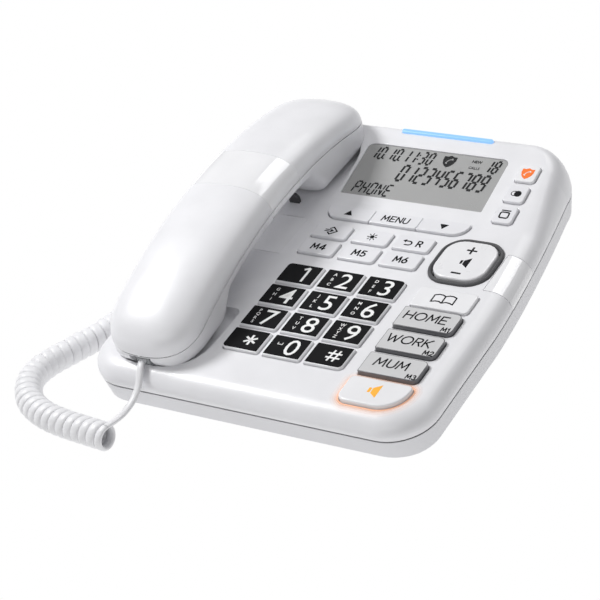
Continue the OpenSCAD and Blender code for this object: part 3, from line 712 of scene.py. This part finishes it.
def make_bottom_shell():
    """Rim strip with a rolled lower edge, and the hidden underside down to the floor."""
    def build(bm):
        rings = [at_height(outline(RIM_IN + UNDER_IN), -RIM - UNDER_IN),
                 at_height(outline(RIM_IN + 1.0), -RIM - 1.0)]
        for k in range(5):
            a = math.pi / 2 * k / 4
            inset = RIM_IN + 1.0 - 1.15 * math.sin(a)
            rings.append(at_height(outline(inset), -RIM - 1 + 1.6 * (1 - math.cos(a))))
        for inset, height in ((0.6, -1.2), (0.5, -0.62), (0.75, -0.42)):
            rings.append(at_height(outline(inset), -PARTING + height))
        # The gap's inner face is coloured near-black: painted shade for the shadow inside the parting gap.
        groove = [at_height(outline(1.3), -PARTING + height) for height in (-0.42, 0.3)]
        rows = skin(bm, rings, caps=(False, False))
        dark = skin(bm, groove, 1, caps=(False, False))
        bmesh.ops.remove_doubles(bm, verts=bm.verts, dist=1e-5)
        strips(bm, rows[0], flip=True)
        strips(bm, dark[-1])
    # Both materials here carry painted shade: the darker white of the downward-facing rim and the near-black
    # inside the parting gap.
    shell = make("base_casing_bottom", build, [UNDER, SEAM_SHADE], None)
    cut(shell, scratch("table", lambda bm: box(bm, WIDE, WIDE, (-300, FOOT)), space=ROW))

    def hollow(bm):
        rings = [at_height(outline(RIM_IN + WALL + UNDER_IN), -RIM - UNDER_IN),
                 at_height(outline(RIM_IN + WALL), -RIM), at_height(outline(WALL + 0.6), -PARTING + 2)]
        rows = skin(bm, rings, caps=(False, False))
        strips(bm, rows[0], flip=True)
        strips(bm, rows[-1])
    inside = scratch("inside", hollow)
    cut(inside, scratch("table", lambda bm: box(bm, WIDE, WIDE, (-300, FOOT + WALL)), space=ROW))
    cut(shell, inside)

    def sockets(bm):
        for mouth in SOCKET_MOUTHS:
            box(bm, *mouth)
    cut(shell, scratch("sockets", sockets))

    def grille(bm):
        for k in range(25):
            x = GRILLE_AT[0] + GRILLE_PITCH * (k % 5 - 2)
            y = GRILLE_AT[1] + GRILLE_PITCH * (k // 5 - 2)
            skin(bm, [at_height(arc(0, 0, GRILLE_R, 0, 337.5, 15), z, x, y) for z in (-1, 8)])
        for x, y in FEET:
            skin(bm, [at_height(arc(0, 0, FOOT_R, 0, 352, 44), z, x, y) for z in (0, 2.3)])
    cut(shell, scratch("grille", grille, space=ROW))
    finish_shell(shell, "base", ["base_bottom_shell"])


make_top_shell()
make_bottom_shell()

# ---------------------------------------------------------------- glyphs
LETTERS = {"2": "ABC", "3": "DEF", "4": "GHI", "5": "JKL", "6": "MNO", "7": "PQRS", "8": "TUV", "9": "WXYZ"}
PRINT = TOP + 0.02
NUMBER_PRINT = TOP + 0.07
KEY_SINK = 0.75


def speaker(bm, x, v, size, mat, w=PRINT):
    """A loudspeaker sign: small block, cone and a gap between them."""
    block = [(-0.50, -0.22), (-0.30, -0.22), (-0.30, 0.22), (-0.50, 0.22)]
    cone = [(-0.22, -0.24), (0.30, -0.62), (0.30, 0.62), (-0.22, 0.24)]
    for shape in (block, cone):
        slab(bm, [(p[0] * size, p[1] * size) for p in shape], x, v, w, PRINT_THICK, mat)


def shield(bm, x, v, size, mat, inner, w=PRINT):
    """A shield with a small telephone receiver in it."""
    right = [(0.5, 0.42), (0.5, 0.05), (0.40, -0.25), (0.2, -0.47)]
    shape = [(0, 0.52), (0.25, 0.40)] + right + [(0, -0.6)]
    shape += [(-p[0], p[1]) for p in reversed(right)] + [(-0.25, 0.40)]
    slab(bm, [(p[0] * size, p[1] * size) for p in shape], x, v, w, PRINT_THICK, mat)
    line = [(-0.17, -0.20), (-0.12, -0.02), (0.02, 0.12), (0.19, 0.18)]
    stroke(bm, [(p[0] * size, p[1] * size) for p in line], 0.055 * size, x, v, w + 0.03, inner)
    for p in (line[0], line[-1]):
        ends = [(p[0] - 0.02, p[1] + 0.03), (p[0] + 0.04, p[1] - 0.03)]
        stroke(bm, [(q[0] * size, q[1] * size) for q in ends], 0.09 * size, x, v, w + 0.035, inner)


def number_key(name, spec):
    """A number key: a black printed face with the sign and its column of letters, in a white cap."""
    x, v, w, h, radii = spec
    sign = {"star": "*", "hash": "#"}.get(name[4:], name[4:])

    def build(bm):
        pad(bm, cap_outline(w, h, radii), x, v, FOOT_W + KEY_SINK, TOP, edge=0.6, face_in=0.05)
        face = rounded(w - 1.0, h - 0.9, [max(r - 0.4, 0.4) for r in radii])
        skin(bm, [at_height(face, TOP - 0.2, x, v), at_height(face, TOP + 0.06, x, v)], 1)
        if sign == "*":
            for k in range(3):
                a = math.radians(90 + 60 * k)
                c, s = 3.7 * math.cos(a), 3.7 * math.sin(a)
                stroke(bm, [(-c, -s), (c, s)], 1.2, x + 2.6, v, NUMBER_PRINT, 2, round_ends=False)
        elif sign == "#":
            for o in (-1.5, 1.5):
                upright = [(o - 0.6, -4.0), (o + 0.6, 4.0)]
                stroke(bm, upright, 1.0, x + 2.6, v, NUMBER_PRINT, 2, round_ends=False)
                stroke(bm, [(-3.9, o), (3.9, o)], 1.0, x + 2.6, v, TOP + 0.08, 2, round_ends=False)
        elif sign == "1":
            flagged = [(-2.2, 3.6), (0.6, 5.2), (0.6, -5.5)]
            stroke(bm, flagged, 1.35, x + 3.0, v, NUMBER_PRINT, 2, round_ends=False)
        else:
            words(bm, sign, 15.9, x + 2.8, v, NUMBER_PRINT, 2, wide=1.04, bold=0.03)
        letters = LETTERS.get(sign, "")
        pitch = 11.4 / max(len(letters), 3)
        for k, letter in enumerate(letters):
            up = pitch * ((len(letters) - 1) / 2 - k)
            words(bm, letter, 2.9, x - 4.6, v + up, NUMBER_PRINT, 2, bold=0.04)
        if sign == "0":
            space_sign = [(-1.3, 0.6), (-1.3, -0.6), (1.3, -0.6), (1.3, 0.6)]
            stroke(bm, space_sign, 0.4, x - 4.8, v + 1.5, NUMBER_PRINT, 2)
        bm.transform(Matrix.Translation((0, 0, -KEY_SINK)))

    make(name + "_cap", build, [KEYCAP, KEYFACE, INK_WHITE], name + "_body", [name])


def plain_key(name, spec, prints, materials=(KEYPAD, INK), space=DECK, edge=0.7):
    """A key with one print on its cap."""
    x, v, w, h, radii = spec

    def build(bm):
        pad(bm, cap_outline(w, h, radii), x, v, FOOT_W + KEY_SINK, TOP, edge=edge, face_in=0.4)
        prints(bm, x, v)
        bm.transform(Matrix.Translation((0, 0, -KEY_SINK)))
    make(name + "_cap", build, list(materials), name + "_body", [name], space)


def redial_print(bm, x, v):
    diamond = [(0, 2.9), (3.3, 0), (0, -2.9), (-1.6, -1.6)]
    stroke(bm, [(-1.6, 1.6)] + diamond, 0.75, x, v, PRINT, 1)
    slab(bm, [(-0.7, -1.3), (1.5, 0), (-0.7, 1.3)], x, v, PRINT, PRINT_THICK, 1)
    stroke(bm, [(-3.8, 0.6), (-1.2, 0.6)], 0.6, x, v, PRINT, 1)
    stroke(bm, [(-3.8, -0.6), (-1.2, -0.6)], 0.6, x, v, PRINT, 1)


def sun_print(bm, x, v):
    slab(bm, arc(0, 0, 1.25, 0, 337.5, 15), x, v, PRINT, PRINT_THICK, 1)
    for k in range(8):
        a = math.radians(45 * k)
        c, s = math.cos(a), math.sin(a)
        stroke(bm, [(1.75 * c, 1.75 * s), (2.7 * c, 2.7 * s)], 0.5, x, v, PRINT, 1)


def flash_print(bm, x, v):
    hook = [(-5.2, 1.1), (-2.4, 1.1)] + arc(-2.4, -0.4, 1.5, 90, -90, 6) + [(-4.2, -1.9)]
    stroke(bm, hook, 0.75, x, v, PRINT, 1)
    slab(bm, [(-6.4, 1.1), (-4.6, 2.3), (-4.6, -0.1)], x, v, PRINT, PRINT_THICK, 1)
    lettering(bm, "R", 4.1, 0.85, x + 3.6, v, PRINT, 1)


def word_print(text, height, line):
    return lambda bm, x, v: lettering(bm, text, height, line, x, v, PRINT, 1)


def arrow_print(sign):
    shape = [(-2.5, -1.9 * sign), (2.5, -1.9 * sign), (0, 2.0 * sign)]
    return lambda bm, x, v: slab(bm, shape, x, v, PRINT, PRINT_THICK, 1)


def book_print(bm, x, v):
    page = [(0, -2.8), (1.9, -1.9), (3.9, -2.0), (6.0, -2.8), (6.0, 2.3), (3.9, 3.1), (1.9, 3.1), (0, 2.2)]
    for s in (1, -1):
        stroke(bm, [(p[0] * s, p[1]) for p in page], 0.75, x, v, PRINT, 1, closed=True)


for key, spec in NUMBERS.items():
    number_key(key, spec)
plain_key("key_redial", FUNCTIONS["key_redial"], redial_print)
plain_key("key_brightness", FUNCTIONS["key_brightness"], sun_print)
plain_key("key_flash", FUNCTIONS["key_flash"], flash_print)
for k in (4, 5, 6):
    plain_key(f"key_m{k}", FUNCTIONS[f"key_m{k}"], word_print(f"M{k}", 4.1, 0.86))
plain_key("key_up", NAVS["key_up"], arrow_print(1), edge=0.4)
plain_key("key_menu", NAVS["key_menu"], word_print("MENU", 4.1, 0.72), edge=0.4)
plain_key("key_down", NAVS["key_down"], arrow_print(-1), edge=0.4)
plain_key("key_phonebook", SIDES["key_phonebook"], book_print, (KEYCAP, INK))


def name_key(name, spec, text, mark):
    """A long key under a smoked cover, with a paper label that holds a name."""
    x, v, w, h, radii = spec

    def build(bm):
        pad(bm, cap_outline(w, h, radii), x, v, FOOT_W, TOP, edge=0.4, face_in=0.05)
        face = rounded(w - 1, h - 1, [2.3, 0.6, 0.6, 2.3])
        skin(bm, [at_height(face, TOP - 0.2, x, v), at_height(face, TOP + 0.03, x, v)], 1)
        lettering(bm, mark, 2.8, 0.62, x + w / 2 - 3.8, v - h / 2 + 2.4, TOP + 0.05, 2)
    make(name + "_cap", build, [COVER, PAPER, INK], name + "_body", [name])

    def label(bm):
        paper = rounded(26.5, 8.6, 0.5)
        skin(bm, [at_height(paper, TOP + up, x - 0.6, v + 1.2) for up in (-0.3, 0.05)])
        lettering(bm, text, 5.2, 0.8, x - 1.2, v + 1.2, TOP + 0.07, 1, slant=0.12, wide=1.12)
    make("label_" + name[4:] + "_paper", label, [PAPER, INK], name + "_body", ["label_" + name[4:]])


for key, text in (("key_m1", "HOME"), ("key_m2", "WORK"), ("key_m3", "MUM")):
    name_key(key, NAMED[key], text, key[4:].upper())


def block_print(bm, x, v):
    shield(bm, x, v, 6.8, 1, 0)


def toggle_print(bm, x, v):
    track = arc(-1.1, 0, 1.5, 90, 270, 8) + arc(1.1, 0, 1.5, -90, 90, 8)
    stroke(bm, track, 0.4, x, v, PRINT, 1, closed=True)
    slab(bm, arc(1.0, 0, 2.0, 0, 342, 18), x, v, PRINT, 0.05, 1)


def clear_print(bm, x, v):
    stroke(bm, rounded(4.8, 3.8, 1.0, n=3), 0.8, x, v - 0.6, PRINT, 1, closed=True)
    stroke(bm, [(-2.2, 2.5), (2.4, 2.5)], 0.75, x, v, PRINT, 1)


plain_key("key_block", SMALLS["key_block"], block_print, (KEYCAP, ORANGE, KEYCAP), space=SCREEN)
plain_key("key_toggle", SMALLS["key_toggle"], toggle_print, space=SCREEN)
plain_key("key_clear", SMALLS["key_clear"], clear_print, space=SCREEN)


def free_key(bm):
    pad(bm, free_outline, SIDE_X, FREE_V, FOOT_W, TOP, edge=0.8, face_in=0.4)
    speaker(bm, SIDE_X, FREE_V + 0.8, 7.2, 1)


make("key_handsfree_cap", free_key, [KEYCAP, AMBER], "key_handsfree_body", ["key_handsfree"])


def deck_drop(x, v):
    """Height of the deck near its rounded front edge."""
    corner_x, corner_v = HALF_W - FRONT_R, FRONT_R - FRONT_V
    if x > corner_x and v < corner_v:
        edge = FRONT_R - math.hypot(x - corner_x, v - corner_v)
    else:
        edge = min(v + FRONT_V, HALF_W - abs(x))
    share = min(1.0, max(0.0, edge / SHOULDER))
    return BELT_W * (1 - math.sqrt(1 - (1 - share) ** 2))


def glow_build(bm):
    """Painted light: see-through glowing rings laid on the deck, for the light that spills from the gap
    round the hands-free key onto it.
    """
    steps = [0.42, 0.95, 1.6, 2.4, 3.4, 4.6]
    rows = []
    for step in steps:
        pts = [(SIDE_X + p[0], FREE_V + p[1]) for p in free_outline(-step)]
        rows.append([bm.verts.new((x, v, deck_drop(x, v) + 0.05)) for x, v in pts])
    n = len(rows[0])
    for k, (a, b) in enumerate(zip(rows, rows[1:])):
        for j in range(n):
            m = (j + 1) % n
            bm.faces.new((a[j], a[m], b[m], b[j])).material_index = k


make("handsfree_glow", glow_build, HALOS, "base")


def rocker_build(bm):
    shape = cap_outline(ROCKER_W, ROCKER_W, RING_R - 2.4)
    pad(bm, shape, ROCKER_X, ROCKER_V, FOOT_W, TOP, edge=1.1, steps=6, face_in=2.5, crown=0.1)
    top = TOP + 0.1
    x, v = ROCKER_X + 0.2, ROCKER_V - 1.5
    stroke(bm, [(-2.8, 8.8), (2.8, 8.8)], 1.1, x, v, top, 1, round_ends=False)
    stroke(bm, [(0, 6.0), (0, 11.6)], 1.1, x, v, top + 0.01, 1, round_ends=False)
    stroke(bm, [(-2.7, -9.2), (2.7, -9.2)], 1.15, x, v, top, 1, round_ends=False)
    speaker(bm, x + 1.2, v - 0.6, 6.2, 1, top)


make("volume_rocker_cap", rocker_build, [ROCKER, INK], "rocker", ["volume_rocker"])


def ring_build(bm):
    """A rounded collar, open in the middle."""
    profile = [(0.05, -1.15), (0.05, 0.5), (0.2, 1.0), (0.6, 1.3), (1.15, 1.3), (1.6, 0.9), (1.85, -0.2),
               (1.88, -1.15)]
    rings = [at_height(rounded(RING_W, RING_W, RING_R, i, 10), w, ROCKER_X, ROCKER_V) for i, w in profile]
    rows = [[bm.verts.new(p) for p in ring] for ring in rings]
    rows.append(rows[0])
    n = len(rows[0])
    for a, b in zip(rows, rows[1:]):
        for j in range(n):
            k = (j + 1) % n
            bm.faces.new((a[j], a[k], b[k], b[j]))


make("volume_collar", ring_build, [RING_DARK], "base", ["volume_ring"])

# ---------------------------------------------------------------- display
SEGS = {"0": "abcdef", "1": "bc", "2": "abged", "3": "abgcd", "4": "fgbc", "5": "afgcd", "6": "afgedc",
        "7": "abc", "8": "abcdefg", "9": "abcfgd", "P": "abfeg", "H": "fegbc", "O": "abcdef", "E": "afged",
        "N": "febcxy"}
SLANT = 0.14
SEGMENT_GAP = 0.08
LCD_FACE = -0.5


def segments(bm, char, x, v, w, h, thick):
    """One character of a segment display, with its lower left corner at (x, v)."""
    lines = {"a": ((0, 2), (1, 2)), "b": ((1, 2), (1, 1)), "c": ((1, 1), (1, 0)), "d": ((0, 0), (1, 0)),
             "e": ((0, 1), (0, 0)), "f": ((0, 2), (0, 1)), "g": ((0, 1), (1, 1)),
             "x": ((0, 2), (0.5, 1)), "y": ((0.5, 1), (1, 0))}
    for seg in SEGS[char]:
        (x0, y0), (x1, y1) = lines[seg]
        p, q = Vector((x0 * w, y0 * h / 2)), Vector((x1 * w, y1 * h / 2))
        d = (q - p).normalized() * (thick * 0.28 + SEGMENT_GAP)
        p, q = p + d, q - d
        pts = [(p.x + SLANT * p.y, p.y), (q.x + SLANT * q.y, q.y)]
        flat = 1.25 if seg in "adg" else 1.0
        stroke(bm, pts, thick * flat, x, v, 0, 1, thick=0.05, round_ends=False)


def lcd_row(bm, text, x, v, w, h, pitch, thick):
    """A row of display characters that starts at (x, v)."""
    for char in text:
        if char == ".":
            slab(bm, [(-0.45, 0), (0.45, 0), (0.45, 0.9), (-0.45, 0.9)], x - pitch * 0.18, v, 0, 0.05, 1)
            x += pitch * 0.22
            continue
        if char == ":":
            for dv in (0.3, 0.66):
                dot_x = x - pitch * 0.08 + SLANT * h * dv
                slab(bm, [(-0.4, 0), (0.4, 0), (0.4, 0.8), (-0.4, 0.8)], dot_x, v + h * dv, 0, 0.05, 1)
            x += pitch * 0.3
            continue
        segments(bm, char, x, v, w, h, thick)
        x += pitch


def lcd_print(bm):
    left, low = LCD_X - LCD_W / 2, LCD_S - LCD_H / 2
    lcd_row(bm, "10.10.11:30", left + 4.2, low + 27.0, 2.5, 8.2, 4.35, 1.05)
    lcd_row(bm, "18", left + 72.4, low + 27.0, 2.5, 8.2, 4.35, 1.1)
    lcd_row(bm, "0123456789", left + 26.2, low + 13.6, 3.2, 11.0, 5.3, 1.25)
    lcd_row(bm, "PHONE", left + 5.2, low + 1.9, 3.0, 7.8, 4.7, 0.85)
    words(bm, "NEW", 2.5, left + 66.5, low + 33.2, 0, 1, bold=0.06)
    words(bm, "CALLS", 2.3, left + 66.5, low + 28.8, 0, 1, bold=0.03)
    shield(bm, left + 50.6, low + 31.4, 7.6, 1, 0, 0)


def make_display():
    def build(bm):
        plate = rounded(LCD_W - 0.3, LCD_H - 0.3, [3.4, 3.4, 0.5, 0.5])
        skin(bm, [at_height(plate, w, LCD_X, LCD_S) for w in (-1.5, LCD_FACE - 0.05)])
        printed = bmesh.new()
        lcd_print(printed)
        printed.transform(Matrix.Translation((0, 0, LCD_FACE)))
        mesh = bpy.data.meshes.new("printed")
        printed.to_mesh(mesh)
        printed.free()
        bm.from_mesh(mesh)
        bpy.data.meshes.remove(mesh)
    make("display_panel", build, [LCD, SEGMENT], "base", ["lcd_panel"], SCREEN)
    glass = rounded(LCD_W - 0.2, LCD_H - 0.2, [3.5, 3.5, 0.5, 0.5])
    make("display_window", lambda bm: skin(bm, [at_height(glass, w, LCD_X, LCD_S) for w in (-0.3, 0)]),
         [GLASS], "base", ["lcd_window"], SCREEN)
    bar = cap_outline(BAR_W - 0.3, BAR_D - 0.3, 1.2)
    make("ringer_light", lambda bm: pad(bm, bar, LCD_X, BAR_S, -3, 1.1, edge=0.6), [BLUE], "base",
         ["light_bar"], SCREEN)


make_display()

# ---------------------------------------------------------------- handset
HS_FRONT, HS_REAR, HS_END = -56.5, 145.0, 26.0
HS_PEAK_V, HS_PEAK_W, HS_ARC = 60.0, 27.8, 524.0
HS_CROWN, GRIP_D, HS_POWER = 16.5, 11.0, 2.6
MOUTH_BOTTOM, EAR_BOTTOM = -3.6, 1.4
EAR_HOLES_V, EAR_HOLES_R = 106, 5.5
CROWN_FALL = 2.8
BAND = (40.0, 68.5)
GROOVE = 0.14


def clamp(t):
    return min(1.0, max(0.0, t))


def smooth(t):
    t = clamp(t)
    return t * t * (3 - 2 * t)


def hs_part(v):
    """Height of the line that parts the two shells."""
    return HS_PEAK_W - (v - HS_PEAK_V) ** 2 / HS_ARC + 4.6 * clamp((-33 - v) / 24) ** 2


def crown_at(v):
    """Height of the upper shell above that line."""
    return HS_CROWN - CROWN_FALL * smooth((v - HS_FRONT) / 110)


def hs_full(v):
    """Share of the full section, which falls off at both rounded ends."""
    u = clamp(1 - min(v - HS_FRONT, HS_REAR - v) / HS_END)
    return max(0.03, (1 - u ** HS_POWER) ** (1 / HS_POWER))


def hs_grip(v):
    """1 along the grip, 0 over the mouth and ear ends."""
    return smooth((v + 18) / 14) if v < 40 else smooth((92 - v) / 13)


def hs_low(v):
    """Height of the handset's underside."""
    g = hs_grip(v)
    run = (MOUTH_BOTTOM if v < 40 else EAR_BOTTOM) * (1 - g) + (hs_part(v) - GRIP_D) * g
    if v < 40:
        return max(run, 0.6 - 1.65 * (v + 54.2))
    return max(run, min(EAR_BOTTOM + 2.4 * (v - 134), 11 + 0.3 * (v - 138)))


def bow(s, e):
    """Superellipse share for the sine or cosine s."""
    return math.copysign(abs(s) ** (2 / e), s)


def hs_stations():
    """Places of the rings along the handset: close together at the ends and at the band's grooves."""
    ends = [0, 0.05, 0.15, 0.35, 0.7, 1.2, 1.9, 2.8, 4, 5.5, 7.5, 10, 13, 16.5, 20.5, 25]
    middle = [HS_FRONT + 28 + k * 3.0 for k in range(int((HS_REAR - HS_FRONT - 56) / 3.0) + 1)]
    middle = [v for v in middle if all(abs(v - b) > 0.8 for b in BAND)]
    grooves = [b + d for b in BAND for d in (-GROOVE, 0, GROOVE)]
    return [HS_FRONT + d for d in ends] + sorted(middle + grooves) + [HS_REAR - d for d in reversed(ends)]


def hs_ring(v, side, n=28):
    """Half a ring across the handset; the rim is turned in a little, which leaves a fine parting groove."""
    full, w0 = hs_full(v), hs_part(v)
    grow = -0.2 if v in BAND else 0.0
    half = HS_W / 2 * full + grow
    tall = crown_at(v) * full if side > 0 else max(w0 - hs_low(v), 0.2) * (1 if full > 0.3 else full / 0.3)
    e = HS_POWER if side > 0 else 4 - 1.6 * hs_grip(v)
    sunk = min(0.7, half * 0.5)
    ring = [(HS_X + half - sunk, v, w0), (HS_X + half - sunk, v, w0 + side * 0.18),
            (HS_X + half - 0.1, v, w0 + side * 0.24)]
    for k in range(n + 1):
        a = math.pi * k / n
        c, s = math.cos(a), math.sin(a)
        rise = 0.4 + max(tall + grow - 0.4, 0.05) * abs(bow(s, e))
        ring.append((HS_X + half * bow(c, e), v, w0 + side * rise))
    ring += [(2 * HS_X - p[0], v, p[2]) for p in reversed(ring[:3])]
    return ring


def handset_shell(bm, side):
    """One half of the handset; side is 1 for the upper shell and -1 for the lower one."""
    stops = hs_stations()
    rows = [[bm.verts.new(p) for p in hs_ring(v, side)] for v in stops]
    n = len(rows[0])
    for (a, v0), (b, v1) in zip(zip(rows, stops), zip(rows[1:], stops[1:])):
        band = 1 if BAND[0] <= v0 and v1 <= BAND[1] else 0
        for j in range(n - 1):
            # The sunk rim faces take the near-black material: painted shade in the parting groove.
            mat = 2 if j in (0, n - 2) else band
            bm.faces.new((a[j], a[j + 1], b[j + 1], b[j])).material_index = mat
        bm.faces.new((a[n - 1], a[0], b[0], b[n - 1])).material_index = 2
    for row in (rows[0], rows[-1]):
        bm.faces.new(row)


def make_handset():
    make("handset_top", lambda bm: handset_shell(bm, 1), [WHITE, TRIM, SEAM_SHADE], "handset",
         ["handset_upper_shell"], crease=50)
    lower = make("handset_bottom", lambda bm: handset_shell(bm, -1), [WHITE, TRIM, SEAM_SHADE], None)
    cut(lower, scratch("notch", lambda bm: box(bm, (HS_X - 6.5, HS_X + 6.5), (-62, -44.5), (-8, 5.8))))

    def holes(bm):
        for k in range(7):
            a = math.radians(60 * k)
            r = 0 if k == 6 else EAR_HOLES_R
            x, v = HS_X + r * math.cos(a), EAR_HOLES_V + r * math.sin(a)
            skin(bm, [at_height(arc(0, 0, 1.1, 0, 337.5, 15), w, x, v) for w in (-2, 3)])
        skin(bm, [at_height(rounded(6, 1.6, 0.7), w, HS_X, -36) for w in (-6, -2)])
    cut(lower, scratch("holes", holes))
    finish_shell(lower, "handset", ["handset_lower_shell"], crease=40)


make_handset()

# ---------------------------------------------------------------- small CAD pieces
FINISHES = {
    "main_board": BOARD, "key_mat": SILICONE, "loudspeaker": BLACK, "line_jack": BLACK, "power_jack": BLACK,
    "handset_jack": BLACK, "rubber_feet": RUBBER, "base_screws": STEEL, "handset_tab": TAB_SHADE,
    "hook_plunger": WHITE, "hook_spring": STEEL, "handset_receiver": BLACK, "handset_microphone": BLACK,
    "handset_plug": CLEAR, "cord_plug": CLEAR,
}
for node, finish in FINISHES.items():
    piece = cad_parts[node]
    piece.data.materials.clear()
    piece.data.materials.append(finish)

# ---------------------------------------------------------------- stage


def make_stage():
    mesh = bpy.data.meshes.new("floor")
    bm = bmesh.new()
    bmesh.ops.create_grid(bm, x_segments=1, y_segments=1, size=6)
    bm.to_mesh(mesh)
    bm.free()
    floor = bpy.data.objects.new("floor", mesh)
    bpy.context.collection.objects.link(floor)
    paper = shader("backdrop_white", (0, 0, 0), 1.0, glow=(1, 1, 1), glow_power=1.0, specular=0.0)[0]
    mesh.materials.append(paper)
    world = bpy.data.worlds.new("studio")
    world.use_nodes = True
    world.node_tree.nodes["Background"].inputs["Color"].default_value = (1, 1, 1, 1)
    world.node_tree.nodes["Background"].inputs["Strength"].default_value = 0.27
    bpy.context.scene.world = world


def softbox(name, place, aim, size, power):
    data = bpy.data.lights.new(name, "AREA")
    data.shape = "RECTANGLE"
    data.size, data.size_y = size
    data.energy = power
    lamp = bpy.data.objects.new(name, data)
    bpy.context.collection.objects.link(lamp)
    turn = (Vector(aim) - Vector(place)).to_track_quat("-Z", "Y")
    lamp.matrix_world = Matrix.Translation(place) @ turn.to_matrix().to_4x4()


make_stage()
softbox("key_light", (-0.85, -0.12, 1.1), (0, 0, 0), (0.4, 0.4), 13.5)
softbox("rear_light", (0.08, 0.78, 1.08), (0, 0.03, 0), (0.8, 0.45), 4.5)
softbox("front_light", (0.3, -1.4, 0.9), (0, 0, 0.02), (1.2, 0.5), 3.5)
bpy.context.scene.view_settings.view_transform = "Standard"
